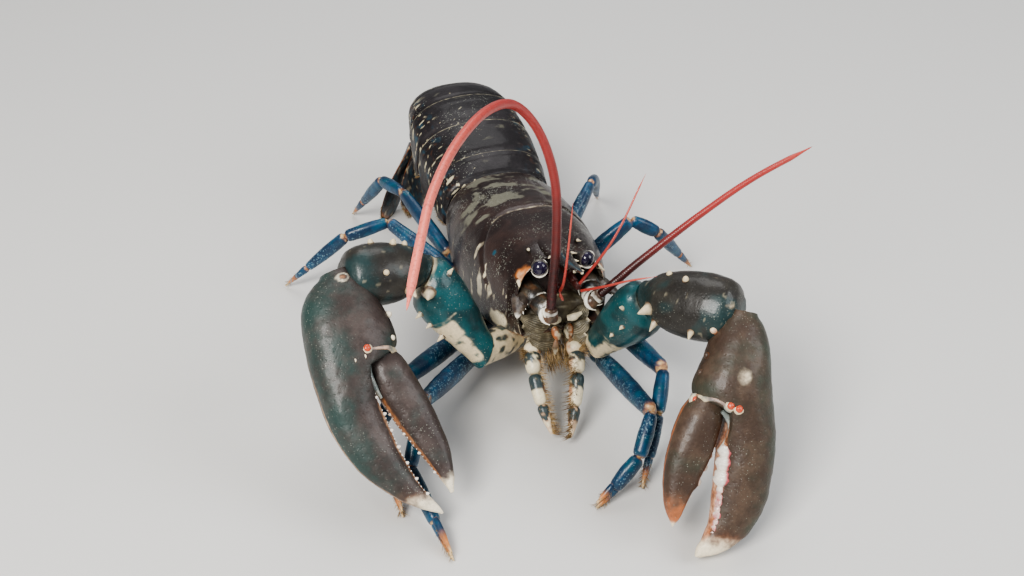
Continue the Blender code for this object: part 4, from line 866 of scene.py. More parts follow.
def curve_points(points, count):
    """Points evenly spaced along a smooth curve through the given points."""
    points = [np.asarray(p, float) for p in points]
    padded = [2 * points[0] - points[1], *points, 2 * points[-1] - points[-2]]
    dense = []
    for i in range(1, len(padded) - 2):
        p0, p1, p2, p3 = padded[i - 1:i + 3]
        for k in range(24):
            t = k / 24
            dense.append(0.5 * (2 * p1 + (p2 - p0) * t + (2 * p0 - 5 * p1 + 4 * p2 - p3) * t * t
                                + (3 * p1 - p0 - 3 * p2 + p3) * t ** 3))
    dense.append(points[-1])
    dense = np.array(dense)
    run = np.concatenate(([0.0], np.cumsum(np.linalg.norm(np.diff(dense, axis=0), axis=1))))
    wanted = np.linspace(0.0, run[-1], count)
    return [np.array([np.interp(w, run, dense[:, axis]) for axis in range(3)]) for w in wanted], run[-1]


def blade(form, points, widths, thicks, facing, paint, rows=20, sides=28, ridges=0.0, waves=10):
    """A flat curved piece along a route, with fine lengthwise ridges where they are asked for."""
    route = curve_points(points, rows)[0]
    rings = []
    for i, centre in enumerate(route):
        along = unit(route[min(i + 1, rows - 1)] - route[max(i - 1, 0)])
        across = unit(np.cross(along, facing))
        upward = np.cross(across, along)
        share = i / (rows - 1)
        ring = oval(centre, across, upward, shaped(share, widths), shaped(share, thicks), sides)
        if ridges:
            ring = [point + upward * ridges * math.cos((k + 0.5) / sides * waves * 2 * math.pi)
                    for k, point in enumerate(ring)]
        rings.append(ring)
    skin(form, rings, paint)


def crescent(form, centre, facing, radius, turns, width, paint, deep=0.9):
    """A raised pale rim along part of a circle, in degrees, narrow at both of its ends."""
    facing = unit(facing)
    across = unit(np.cross(UP, facing))
    upward = np.cross(facing, across)
    arc = [centre + (across * math.cos(turn) + upward * math.sin(turn)) * radius
           for turn in (math.radians(degrees) for degrees in np.linspace(*turns, 9))]
    blade(form, arc, ((0.0, 0.25 * width), (0.5, width), (1.0, 0.25 * width)),
          ((0.0, 0.4 * deep), (0.5, deep), (1.0, 0.4 * deep)), facing, paint, rows=26, sides=16)


for side in (-1, 1):
    word = "left" if side > 0 else "right"
    centre = np.array((side * EYE_SPACING / 2, 0.0, 80.0))
    radius = EYE_DIAMETER / 2
    gaze = unit((side * 0.45, -1.0, 0.1))
    across = unit(np.cross(gaze, UP))
    upward = np.cross(across, gaze)
    eye_form = bmesh.new()
    rings = []
    for turn in np.linspace(-60, 82, 20):
        angle = math.radians(turn)
        rings.append(oval(centre + gaze * radius * math.sin(angle), across, upward,
                          radius * math.cos(angle),
                          radius * math.cos(angle), 32))
    skin(eye_form, rings, end=centre + gaze * radius * 0.995)
    put(eye_form, f"eye_{word}_cornea", EYE, [f"eye_{word}"])
    stalk_form = bmesh.new()
    root = np.array((side * 7.0, 12.0, 76.0))
    cup = centre - gaze * radius * 0.45
    rings = []
    for share, size in ((0.0, 2.6), (0.3, 2.5), (0.55, 2.2), (0.75, 2.6), (0.9, 3.3), (1.0, 3.85)):
        rings.append(oval(root + (cup - root) * share, across, upward, size, size, 28))
    for reach, size in ((-0.2, 4.15), (0.05, 4.2), (0.14, 4.0), (0.14, 3.6)):
        rings.append(oval(centre + gaze * radius * reach, across, upward, size, size, 28))

    def stalk_paint(point, share, turn):
        lip = 0.5 * rise(share, 0.6, 0.75) * (1 - rise((point - centre)[2], -1.0, 1.0))
        return (lip, 0.1, 0.3, 0.0)

    skin(stalk_form, rings, stalk_paint)
    crescent(stalk_form, centre + gaze * 0.7, (-0.2, -0.85, 0.45), radius + 0.35, (195, 345), 0.55, CREAM)
    crescent(stalk_form, centre + gaze * 0.3, (-0.2, -0.85, 0.45), radius + 0.3, (15, 80), 0.35, CREAM)
    put(stalk_form, f"eye_{word}_stalk", STALK, [f"eyestalk_{word}"])


# Antennae
#
# A jointed stem with a flat toothed scale beside it, then the long whip of hundreds of short
# rings. The whips are dark maroon at the root and brighten to salmon pink.

ANTENNA_KNEE = {-1: np.array((-9.5, -10.0, 58.5)), 1: np.array((13.0, -9.0, 61.5))}
NECK_LENGTH = 4.0
RIGHT_WHIP = ((-7.0, -9.0, 101.0), (-8.0, -8.0, 132.0), (-16.0, -9.0, 159.0),
              (-30.0, -17.0, 179.0), (-48.0, -37.0, 190.0), (-68.0, -64.0, 194.0), (-85.0, -93.0, 194.0),
              (-97.0, -120.0, 192.0), (-108.0, -146.0, 188.0))
LEFT_WHIP = ((35.0, -11.0, 81.0), (64.0, -9.0, 99.0), (91.0, -8.0, 114.0),
             (118.0, -10.0, 127.0))
RING_STEP = 1.1


def whip(form, points, thick_start, thick_end, sides=10, step=RING_STEP, shades=(0.0, 1.0)):
    """A whip of short rings: each swells a little and narrows at its joints."""
    length = curve_points(points, 2)[1]
    count = int(length / step) * 3
    route = curve_points(points, count)[0]
    normal = unit(np.cross(route[1] - route[0], (0.3, 0.4, 0.86)))
    rings = []
    for i, centre in enumerate(route):
        along = unit(route[min(i + 1, count - 1)] - route[max(i - 1, 0)])
        normal = unit(normal - along * (normal @ along))
        radius = (thick_start + (thick_end - thick_start) * i / (count - 1)) / 2
        radius *= (0.92, 1.0, 1.0)[i % 3] * (0.3 + 0.7 * rise(count - i, 0.0, 30.0))
        rings.append(oval(centre, normal, np.cross(along, normal), radius, radius, sides))
    low, high = shades
    skin(form, rings, lambda point, share, turn: (low + (high - low) * share, 0.0, 0.0, 0.0),
         end=route[-1] + along * thick_end * 0.8)


def whip_material(name, root_colour, mid_colour, end_colour, band=0.35):
    """Ringed whip: colour runs from root to tip by the painted share, with darker flecks of fine grain."""
    made = bpy.data.materials.new(name)
    made.use_nodes = True
    tree = made.node_tree
    shader = tree.nodes["Principled BSDF"]
    place = tree.nodes.new("ShaderNodeTexCoord").outputs["Object"]
    painted = add_node(tree, "ShaderNodeAttribute", {"attribute_name": "markings"})
    share = add_node(tree, "ShaderNodeSeparateColor", {},
                     {"Color": painted.outputs["Color"]}).outputs["Red"]
    grain = add_node(tree, "ShaderNodeTexNoise", {}, {"Vector": place, "Scale": 700.0, "Detail": 3.0})
    patchy = add_node(tree, "ShaderNodeTexNoise", {}, {"Vector": place, "Scale": 90.0, "Detail": 3.0})
    near = reckon(tree, "ADD", share, reckon(tree, "MULTIPLY", patchy.outputs["Fac"], 0.16))
    near = stepped(tree, near, 0.12, 0.5)
    far = stepped(tree, share, 0.45, 1.0)
    colour = mixed(tree, near, (*root_colour, 1.0), (*mid_colour, 1.0))
    colour = mixed(tree, far, colour, (*end_colour, 1.0))
    dull = reckon(tree, "MULTIPLY", stepped(tree, grain.outputs["Fac"], 0.5, 0.7), band)
    colour = mixed(tree, dull, colour, (*[c * 0.45 for c in mid_colour], 1.0))
    tree.links.new(colour, shader.inputs["Base Color"])
    bump = add_node(tree, "ShaderNodeBump", {}, {"Strength": 0.25, "Distance": 0.0002,
                                                 "Height": grain.outputs["Fac"]})
    tree.links.new(bump.outputs["Normal"], shader.inputs["Normal"])
    shader.inputs["Roughness"].default_value = 0.38
    shader.inputs["Coat Weight"].default_value = 0.25
    return made


ANTENNA = whip_material("antenna_rings", (0.040, 0.011, 0.010), (0.40, 0.040, 0.034), (0.86, 0.22, 0.16))
whip_starts = {}
for side in (-1, 1):
    word = "left" if side > 0 else "right"
    root = np.array((side * 15.0, 8.0, 62.0))
    knee = ANTENNA_KNEE[side]
    whip_points = RIGHT_WHIP if side < 0 else LEFT_WHIP
    neck = unit(np.array(whip_points[0]) - knee)
    end = knee + neck * NECK_LENGTH
    stem_form = bmesh.new()
    lower = unit(knee - root)
    flat = unit(np.cross(lower, UP))
    upright = np.cross(flat, lower)
    rings = []
    for share, size in ((-0.15, 5.6), (0.0, 5.9), (0.25, 6.2), (0.42, 5.9), (0.47, 5.2), (0.5, 5.6),
                        (0.7, 5.3),
                        (0.82, 4.8), (0.86, 4.2)):
        rings.append(oval(root + (knee - root) * share, flat, upright, size, size * 0.94, 28))

    def stem_paint(point, share, turn):
        ring = max(math.exp(-((share - 0.48) / 0.05) ** 2),
                   rise(share, 0.74, 0.8) * (1 - rise(share, 0.9, 0.95)))
        speck = noise.noise(Vector(point) / 2.2)
        outer = 1.0 - rise(side * (point - root - (knee - root) * share)[0], -1.0, 4.0) * 0.8
        return (ring * outer, 0.2 * rise(speck, 0.1, 0.4), 0.35 * rise(-speck, 0, 0.3), 0.0)

    skin(stem_form, rings, stem_paint)
    flat = unit(np.cross(neck, (0.0, 1.0, 0.2)))
    upright = np.cross(flat, neck)
    rings = []
    for reach, size in ((-2.6, 3.9), (-0.8, 4.0), (0.6, 3.6), (1.0, 3.1), (1.3, 3.5), (2.6, 3.4),
                        (3.4, 3.1), (4.0, 2.7)):
        rings.append(oval(knee + neck * reach, flat, upright, size, size * 0.95, 28))
    skin(stem_form, rings, lambda point, share, turn: (0.95 * math.exp(-((share - 0.62) / 0.12) ** 2),
                                                       0.2, 0.1, 0.0))
    rim_middle = knee + neck * 0.8 + np.array((0.0, -1.0, 0.0))
    rim_facing = (side * 0.1 - 0.2, -0.8, 0.6)
    crescent(stem_form, rim_middle, rim_facing, 4.9, (105, 265), 1.15, CREAM, deep=1.3)
    crescent(stem_form, rim_middle + neck * 1.4, rim_facing, 3.5, (80, 300), 0.6, (0.85, 0.1, 0.0, 0.0))
    crescent(stem_form, root + (knee - root) * 0.55, rim_facing, 5.7, (60, 200), 0.8,
             (0.8, 0.1, 0.0, 0.0), deep=1.1)
    scale_root = root + np.array((side * 4.5, -4.0, 1.0))
    scale_tip = root + np.array((side * 11.6, -19.2, -0.9))
    along = unit(scale_tip - scale_root)
    flat = unit(np.cross(along, UP))
    upright = np.cross(flat, along)
    rings = []
    for share, wide, deep in ((0.0, 4.4, 1.5), (0.25, 4.3, 1.4), (0.5, 3.6, 1.2), (0.75, 2.3, 1.0),
                              (0.92, 1.0, 0.7)):
        rings.append(oval(scale_root + (scale_tip - scale_root) * share, flat, upright, wide, deep, 20))
    skin(stem_form, rings, lambda point, share, turn: (0.7 * rise(share, 0.8, 1.0), 0.1,
                                                       0.3 * (1 - share), 0.0), end=scale_tip)
    for share in (0.3, 0.5, 0.7):
        tooth = scale_root + (scale_tip - scale_root) * share + flat * side * (4.0 - 3.0 * share)
        spine(stem_form, tooth, along + flat * side * 0.5, 2.2, 0.6, sides=6)
    roughen(stem_form, 0.12, 2.5)
    put(stem_form, f"antenna_{word}_stem", STALK, [f"antenna_stem_{word}"])
    whip_starts[side] = (end + neck * 0.3, end + neck * 10.0, *whip_points)

whip_form = bmesh.new()
whip(whip_form, whip_starts[-1], 4.8, 3.3, sides=12)
put(whip_form, "antenna_right_whip", ANTENNA, [f"antenna_right_{k}" for k in (1, 2, 3)])
whip_form = bmesh.new()
whip(whip_form, whip_starts[1], 4.4, 2.6, sides=12, shades=(0.0, 0.62))
put(whip_form, "antenna_left_whip", ANTENNA, ["antenna_left_1", "antenna_left_2"])


# Antennules
#
# The two short feelers between the eyes. Each has a jointed stem and splits into two thin
# red-orange branches that taper to a point.

ANTENNULES = {
    -1: (((-4.5, -9.0, 70.5), (-6.5, -19.0, 84.0), (-5.0, -19.0, 100.0), (-1.0, -13.0, 122.0)),
         ((-5.0, -11.0, 70.0), (-8.0, -22.0, 76.0), (-12.0, -28.0, 86.0))),
    1: (((4.5, -8.0, 70.5), (21.0, -10.0, 96.0), (40.0, 1.0, 121.0)),
        ((5.5, -11.0, 70.0), (14.0, -21.0, 78.0), (22.0, -29.0, 85.0), (31.9, -36.0, 90.0))),
}
ANTENNULE = whip_material("antennule_rings", (0.050, 0.014, 0.011), (0.40, 0.046, 0.034),
                          (0.58, 0.105, 0.075), band=0.25)
for side in (-1, 1):
    word = "left" if side > 0 else "right"
    feeler_form = bmesh.new()
    rings = []
    for y, size in ((9.0, 2.3), (4.0, 2.2), (1.2, 2.1), (0.8, 1.8), (0.3, 2.0), (-3.0, 2.0),
                    (-4.4, 1.9), (-4.8, 1.6),
                    (-5.2, 1.9), (-8.6, 1.8), (-9.6, 1.3)):
        rings.append(oval((side * (4.3 - y * 0.03), y, 71.0), SIDEWAYS, UP, size, size, 18))
    skin(feeler_form, rings, PLAIN)
    whip(feeler_form, ANTENNULES[side][0], 1.7, 0.7, sides=8, step=0.8, shades=(0.3, 1.0))
    put(feeler_form, f"antennule_{word}_long", ANTENNULE, [f"antennule_{word}"])
    feeler_form = bmesh.new()
    whip(feeler_form, ANTENNULES[side][1], 1.6, 0.7, sides=8, step=0.8, shades=(0.3, 1.0))
    put(feeler_form, f"antennule_{word}_branch", ANTENNULE, [f"antennule_{word}_short"])


# Jaws and maxillipeds
#
# The mouth is closed by paired jaws and small leaf-like limbs, orange-pink and pale grey. The
# third maxillipeds hang over them like short legs, banded cream and blue-grey, with setae.

MAXILLIPEDS = {
    -1: ((-8.0, 15.0, 24.0), (-13.0, 4.0, 28.0), (-16.5, -3.5, 32.0), (-18.0, -12.0, 25.0),
         (-18.0, -24.0, 15.0), (-16.5, -35.0, 5.0)),
    1: ((8.0, 15.0, 24.0), (6.5, 1.0, 28.0), (4.5, -10.0, 32.0), (2.0, -19.0, 26.0),
        (-3.0, -30.0, 15.0), (-8.5, -40.0, 5.0)),
}
MOUTH = shell_material("mouth_shell", (0.075, 0.062, 0.036), (0.17, 0.145, 0.090), coat=0.2,
                       Blue=(0.022, 0.050, 0.062), Orange=(0.55, 0.17, 0.06), Cream=(0.78, 0.69, 0.49),
                       numbers={"Mottle Scale": 200.0, "Speck Amount": 0.2, "Base Roughness": 0.34})


def segment(form, a, b, sizes, flat_dir, paint=PLAIN, sides=24, power=2.2, ends=0.9):
    """One limb piece from joint a to joint b: narrow necks at both ends and a full middle."""
    a, b = np.asarray(a, float), np.asarray(b, float)
    along = unit(b - a)
    across = unit(np.cross(along, flat_dir))
    upward = np.cross(across, along)
    length = np.linalg.norm(b - a)
    rings = []
    wide = [(k / (len(sizes) - 1), size[0]) for k, size in enumerate(sizes)]
    deep = [(k / (len(sizes) - 1), size[1]) for k, size in enumerate(sizes)]
    round_off = min(0.25, 2.2 / length)
    for share in sorted({*np.linspace(0.0, 1.0, max(int(length / 1.3), 9)), round_off * 0.3,
                         1 - round_off * 0.3}):
        neck = math.sin(min(share, 1 - share, round_off) / round_off * math.pi / 2) if round_off else 1.0
        size = 1.0 - (1.0 - 0.62 * ends) * (1.0 - neck)
        rings.append(oval(a + (b - a) * share, across, upward, shaped(share, wide) * size,
                          shaped(share, deep) * size, sides, power))
    skin(form, rings, paint)
    return along, across, upward


PLATE_RIDGES = 22
LEAF = ((0.0, 0.55), (0.3, 1.0), (0.75, 0.85), (1.0, 0.3))
THIN = ((0.0, 0.7), (0.5, 0.6), (1.0, 0.3))


def plate_paint(point, share, turn):
    pale = 0.14 + 0.14 * math.cos(turn * PLATE_RIDGES * 2 * math.pi)
    pale += 0.5 * rise(share, 0.9, 1.0)
    pale += 0.3 * rise(math.cos(turn * 2 * math.pi), 0.9, 1.0)
    return (pale, 0.05, 0.1, 0.35 * rise(noise.noise(Vector(point) / 2.5), -0.1, 0.4))


mouth_form = bmesh.new()
core = [oval((x, 9.0, 44.0), np.array((0.0, 1.0, 0.0)), UP, 7.5 * s, 11.0 * s, 40)
        for x, s in ((-17.6, 0.3), (-14.0, 0.7), (-8.0, 0.94), (0.0, 1.0), (8.0, 0.94), (14.0, 0.7),
                     (17.6, 0.3))]
skin(mouth_form, core,
     lambda point, share, turn: (0.5 * rise(noise.noise(Vector(point) / 2.0), 0.1, 0.4), 0.1, 0.25, 0.3))
for side in (-1, 1):
    for tall, low, high, wide in ((4.6, (1.0, 3.0, 40.5), (15.0 + 5.5 * (side < 0), 3.0, 50.0), 4.2),
                                  (4.2, (1.5, 1.5, 37.0),
                                   (13.5 + 6.0 * (side < 0), -3.0 + 5.0 * (side < 0), 45.0), 4.0),
                                  (3.8, (2.5, -0.5, 32.5),
                                   (11.0 + 6.0 * (side < 0), -6.0 + 7.0 * (side < 0), 38.5), 3.6)):
        start = np.array((side * low[0], low[1], low[2]))
        stop = np.array((side * high[0], high[1], high[2]))
        bow = (start + stop) / 2 + np.array((0.0, -2.6, -0.8))
        blade(mouth_form, (start, bow, stop), [(s, w * wide) for s, w in LEAF], THIN, (0.0, -1.0, 0.55),
              plate_paint, rows=30, sides=132, ridges=0.09, waves=PLATE_RIDGES)
    jaw_top, jaw_foot = np.array((side * 3.8, -1.0, 43.0)), np.array((side * 2.6, -3.4, 36.0))
    segment(mouth_form, jaw_top, jaw_foot, [(1.9, 1.8), (2.5, 2.1), (1.7, 1.6)], (0.0, 1.0, 0.3),
            lambda point, share, turn, s=side: (0.5 * rise(noise.noise(Vector(point) / 1.6), -0.2, 0.2),
                                                0.6 * rise(s * point[0], 1.2, 4.5), 0, 0))
    blade(mouth_form, ((side * 3.4, -3.0, 36.5), (side * 4.4, -4.6, 32.5), (side * 4.4, -4.8, 28.5)),
          [(s, w * 1.5) for s, w in LEAF], THIN, (side * 0.3, -1.0, 0.0),
          lambda point, share, turn: (0.5 * rise(share, 0.4, 0.8), 0.35 * (1 - share), 0.0, 0.3))
    blade(mouth_form, ((side * 2.0, -3.0, 48.6), (side * 5.0, -4.2, 49.4), (side * 9.0, -3.6, 50.6)),
          ((0.0, 1.5), (0.5, 1.9), (1.0, 0.9)), ((0.0, 1.2), (0.5, 1.4), (1.0, 0.7)), (0.0, -1.0, 0.4),
          (0.95, 0.0, 0.0, 0.0))
roughen(mouth_form, 0.14, 2.0)
put(mouth_form, "jaws_and_small_limbs", MOUTH, ["mouthparts"])

SETA_WIDTH = 0.17
MOUTH_STRIPS = 12.0                             # strips of the setae's map, six for each limb
mouth_setae = bmesh.new()
for side in (-1, 1):
    word = "left" if side > 0 else "right"
    joints = MAXILLIPEDS[side]
    sizes = ((3.2, 3.6), (4.0, 4.4), (3.8, 4.2), (3.4, 3.6), (3.0, 3.2), (0.9, 1.2))
    first_strip = 6 if side > 0 else 0
    limb_form = bmesh.new()
    for k in range(5):
        def band(point, share, turn, k=k):
            middle_x = joints[k][0] + (joints[k + 1][0] - joints[k][0]) * share
            inward = side * (middle_x - point[0]) / 3.5
            ragged = share + 0.22 * noise.noise(Vector(point) / 2.4)
            pale = rise(ragged, 0.44, 0.54)
            pale = max(pale, 0.7 * (1 - rise(ragged, 0.03, 0.1)),
                       0.7 * rise(noise.noise(Vector(point) / 1.8), 0.3, 0.45))
            orange = max(0.75 * rise(inward, 0.35, 0.9),
                         0.5 * rise(share, 0.88, 0.97)) * rise(ragged, 0.3, 0.5)
            orange = max(orange, (0.7 if k > 3 else 0.1) * pale)
            return (0.92 * pale * (1 - 0.55 * orange), orange, 0.9 * (1 - pale), 0.0)
        middle = (sizes[k][0] * 0.5 + sizes[k + 1][0] * 0.5 + 0.2,
                  sizes[k][1] * 0.5 + sizes[k + 1][1] * 0.5 + 0.2)
        along, across, upward = segment(limb_form, joints[k], joints[k + 1],
                                        [sizes[k], middle, sizes[k + 1]],
                                        (0.0, 1.0, 0.3), band)
        if k >= 1:
            start, stop = np.array(joints[k]), np.array(joints[k + 1])
            strip = first_strip + k
            for n in range(150):
                run = random.uniform(0.02, 0.98)
                at = start + (stop - start) * run
                aim = across * -side * random.uniform(0.4, 1.0) + along * 0.5
                aim = aim + upward * random.uniform(-0.7, 0.5)
                swing = math.atan2(aim @ upward, aim @ across) / (2 * math.pi) + 0.5
                bristle(mouth_setae, at + unit(aim) * sizes[k + 1][0] * 0.6, aim,
                        random.uniform(3.5, 7.0), SETA_WIDTH,
                        ((strip + run) / MOUTH_STRIPS * 0.98 + 0.01, swing * 0.98 + 0.01))
    for n in range(260):
        at = np.array((side * random.uniform(0.5, 9.0), random.uniform(-5.0, 4.0),
                       random.uniform(22.0, 34.0)))
        bristle(mouth_setae, at, (random.uniform(-0.35, 0.35), random.uniform(-1.0, -0.2), -1.0),
                random.uniform(6.0, 10.0),
                SETA_WIDTH, ((first_strip + 5.5 + side * at[0] / 20.0) / MOUTH_STRIPS * 0.98 + 0.01,
                             (at[2] - 20.0) / 16.0))
    roughen(limb_form, 0.12, 2.5)
    put(limb_form, f"maxilliped_{word}_limb", MOUTH, [f"maxilliped_{word}"])
put_setae(mouth_setae, "maxilliped_setae")


# Claw arms
#
# Each claw hangs on three strong pieces: a short base, an upper arm and a rounded wrist
# block. They are teal-mottled to dark brown shell with cream spines along the upper edges.

CLAW_SQUARENESS = 2.3
CLAWS = {
    "right": {
        "elbow": (-65.0, 17.0, 77.0),
        "wrist": (-104.0, 11.0, 86.0),
        "tip": (-85.0, -75.0, 13.0),
        "face": (0.1, -0.55, 0.83),
    },
    "left": {
        "elbow": (31.0, -34.0, 75.0),
        "wrist": (60.0, -67.0, 83.0),
        "tip": (18.0, -129.0, 3.0),
        "face": (-0.1, -0.75, 0.66),
    },
}
ARM_ROOT = (20.0, 15.0, 29.0)
ARM_HIP = {"left": (18.0, -7.0, 33.0), "right": (-40.0, 2.0, 35.0)}
ARM_SPINES = {
    "right": ((0.9, (-0.3, -0.9, 0.2), 7.0), (0.75, (-0.85, -0.5, -0.2), 4.0),
              (0.6, (-0.85, -0.5, -0.2), 3.5),
              (0.42, (-0.8, -0.5, -0.3), 4.5), (0.9, (0.5, -0.2, 0.8), 4.0)),
    "left": ((0.9, (-0.8, -0.3, 0.5), 3.0), (0.72, (-0.8, -0.5, -0.2), 2.4),
             (0.5, (-0.8, -0.5, -0.2), 2.0),
             (0.88, (0.6, 0.3, 0.8), 3.0)),
}
WRIST_SPINES = {
    "right": ((0.42, (0.25, 0.25, 0.9), 4.5), (0.24, (0.3, 0.45, 0.8), 4.0),
              (0.3, (0.2, -0.95, -0.05), 6.5),
              (0.62, (0.1, -0.8, 0.6), 3.5), (0.55, (-0.1, 0.9, 0.4), 4.0), (0.66, (-0.2, 0.4, 0.9), 3.5)),
    "left": ((0.12, (-0.9, -0.35, 0.1), 8.0), (0.17, (-0.75, -0.6, -0.4), 5.6),
             (0.62, (-0.6, -0.75, -0.2), 4.9),
             (0.25, (-0.1, 0.25, 0.95), 3.4), (0.48, (-0.15, -0.1, 0.97), 3.8),
             (0.6, (0.85, 0.3, 0.4), 3.4)),
}
ARM = shell_material("arm_shell", (0.008, 0.024, 0.027), (0.010, 0.050, 0.054), coat=0.25, relief=0.3,
                     sheen=0.4,
                     Blue=(0.007, 0.085, 0.095),
                     numbers={"Mottle Scale": 75.0, "Speck Amount": 0.4, "Base Roughness": 0.34})
WRIST_SIZES = {
    "right": ((7.6, 7.6), (12.0, 12.2), (14.6, 14.0), (13.8, 13.0), (11.5, 10.8), (8.0, 8.0)),
    "left": ((8.0, 8.0), (13.0, 12.6), (15.8, 14.6), (15.0, 13.6), (12.5, 11.5), (8.0, 8.0)),
}
WRIST_RISE = 2.2
WRIST = shell_material("wrist_shell", (0.020, 0.0175, 0.0145), (0.037, 0.033, 0.026), coat=0.2,
                       relief=0.35,
                       sheen=0.4, Blue=(0.011, 0.042, 0.044),
                       numbers={"Mottle Scale": 60.0, "Speck Amount": 0.42, "Base Roughness": 0.36})


def straight_limb(form, start, end, stations, sizes, flat_dir, paint, spines, power=2.2, sides=48,
                  normals=(None, None),
                  blunt=False):
    """A fuller, straight limb piece with its spines, each (share, direction it faces, length)."""
    along = unit(end - start)
    across = unit(np.cross(along, flat_dir))
    upward = np.cross(across, along)
    wide = [(s, size[0]) for s, size in zip(stations, sizes)]
    deep = [(s, size[1]) for s, size in zip(stations, sizes)]
    rings = []
    for share in np.linspace(0.0, 1.0, 44):
        ring = oval(start + (end - start) * share, across, upward, shaped(share, wide),
                    shaped(share, deep), sides, power)
        for normal, weight in ((normals[0], (1 - share) ** 4), (normals[1], share ** 4)):
            if normal is not None:
                normal = unit(normal)
                middle = start + (end - start) * share
                ring = [p + along * weight * (((middle - p) @ normal) / (along @ normal)) for p in ring]
        rings.append(ring)
    skin(form, rings, paint)
    roughen(form, 0.25, 6.0)
    for share, facing, length in spines:
        half_width, half_height = shaped(share, wide), shaped(share, deep)
        facing = unit(facing)
        c, s = facing @ across / half_width, facing @ upward / half_height
        reach = (abs(c) ** power + abs(s) ** power) ** (-1 / power)
        outward = across * (facing @ across) + upward * (facing @ upward)
        root = start + (end - start) * share + outward * reach
        if blunt and length < 4.8:
            knob(form, root, facing, length * 0.6, 0.7 + length * 0.2, foot=(0.1, 0.25, 0.0, 0.0),
                 sides=14)
        else:
            stout = 1.35 if length > 6.0 else 0.95
            spine(form, root, facing, length * 0.98, (0.8 + length * 0.17) * stout,
                  foot=(0.2, 0.25, 0.0, 0.0), sides=14)


def arm_paint_for(word, start, end):
    """Teal shell; the near lower side is pale, as the short second piece of the limb is."""
    line = unit(end - start)
    length = np.linalg.norm(end - start)

    def paint(point, share, turn):
        offset = point - start
        place = offset @ line / length
        aside = unit(offset - line * (offset @ line) + 1e-6)
        under = aside @ unit((-0.5, -0.62, -0.6) if word == "right" else (-0.1, -0.5, -0.85))
        patch = noise.noise(Vector(point) / 8.0)
        speck = noise.noise(Vector(point) / 3.2)
        reach = 0.5 if word == "right" else 0.3
        pale = rise(under, 0.45, 0.62) * (1 - rise(place, reach, reach + 0.05)) * rise(place, -0.05, 0.03)
        pale = max(pale, 0.9 * (1 - rise(place, 0.05, 0.08)) if word == "left" else 0.0)
        seam = math.exp(-((place - reach - 0.06) / 0.012) ** 2) * rise(under, 0.1, 0.4)
        rim = rise(share, 0.965, 0.985) * (1.0 if word == "right" else 0.3)
        cream = max(pale * (1 - 0.55 * rise(speck, 0.1, 0.4)), 0.6 * rim, 0.4 * seam)
        return (cream, 0.2 * rim, max(rise(patch, -0.45, 0.3), 0.35), 0.0)

    return paint


def wrist_paint_for(word, wrist, along, across, outward):
    """Dark shell, teal at the elbow, with a thin pale rim where the claw's body begins."""
    rim_place, rim_low, rim_high = -3.2, -9.0, 12.0
    rim_strength = 0.75 if word == "left" else 0.0

    def paint(point, share, turn):
        patch = noise.noise(Vector(point) / 9.0 + Vector((3.0, 1.0, 0.0)))
        scuff = noise.noise(Vector(point) / 3.0)
        level = (point - wrist) @ along
        aside = (point - wrist) @ outward
        seam = rise(level, -9.0, -5.0) * rise(aside, -16.0, -6.0)
        near = 0.7 * (1 - rise(share, 0.05, 0.3))
        sideways = (point - wrist) @ across
        rim = rim_strength * math.exp(-((level - rim_place) / 0.8) ** 2)
        rim *= rise(sideways, rim_low, rim_low + 3.0)
        rim *= 1 - rise(sideways, rim_high - 3.0, rim_high)
        return (max(0.25 * rise(scuff, 0.42, 0.52), 0.8 * rim), 0.4 * rim,
                max(0.7 * rise(patch, 0.1, 0.6), near, 0.8 * seam), 0.5 * rise(scuff, 0.44, 0.56))

    return paint


claw_frames = {}
for word in ("left", "right"):
    side = 1 if word == "left" else -1
    spec = CLAWS[word]
    root = np.array((side * ARM_ROOT[0], ARM_ROOT[1], ARM_ROOT[2]))
    hip, elbow, wrist = (np.array(p, float) for p in (ARM_HIP[word], spec["elbow"], spec["wrist"]))
    shin = unit(hip - root)
    arm_dir, fore_dir = unit(elbow - hip), unit(wrist - elbow)
    hip_plane, elbow_plane = unit(shin + arm_dir), unit(arm_dir + fore_dir)
    base_form = bmesh.new()
    straight_limb(base_form, root, hip - shin * 0.4, (0.0, 0.5, 1.0),
                  [(7.0, 7.5), (7.5, 8.0), (6.8, 7.8)], UP,
                  lambda point, share, turn: (0.8 * rise(noise.noise(Vector(point) / 4.0), -0.4, 0.1),
                                              0.2, 0.6, 0.0), (),
                  normals=(None, unit(shin + arm_dir)), sides=36)
    put(base_form, f"claw_{word}_base_piece", ARM, [f"claw_{word}_base"])
    arm_form = bmesh.new()
    straight_limb(arm_form, hip + arm_dir * 0.3, elbow - arm_dir * 1.6, (0.0, 0.25, 0.6, 0.9, 1.0),
                  [(7.0, 8.0), (8.5, 10.0), (10.5, 13.0), (10.0, 13.0), (7.0, 9.0)], fore_dir,
                  arm_paint_for(word, hip, elbow), ARM_SPINES[word], normals=(hip_plane, elbow_plane))
    put(arm_form, f"claw_{word}_upper_arm", ARM, [f"claw_{word}_arm"])
    along = unit(np.array(spec["tip"], float) - wrist)
    face = np.array(spec["face"], float)
    face = unit(face - along * (face @ along))
    across = np.cross(face, along)
    if word == "left":
        across = -across
    claw_frames[word] = (wrist, along, across, face)
    wrist_form = bmesh.new()
    straight_limb(wrist_form, elbow - arm_dir * 1.5 + fore_dir * 0.5 + UP * WRIST_RISE,
                  wrist - fore_dir * 1.0 + UP * WRIST_RISE,
                  (0.0, 0.2, 0.5, 0.8, 0.94, 1.0), WRIST_SIZES[word], face,
                  wrist_paint_for(word, wrist, along, across, fore_dir), WRIST_SPINES[word],
                  normals=(elbow_plane, None), blunt=True)
    put(wrist_form, f"claw_{word}_wrist_block", WRIST, [f"claw_{word}_wrist"])


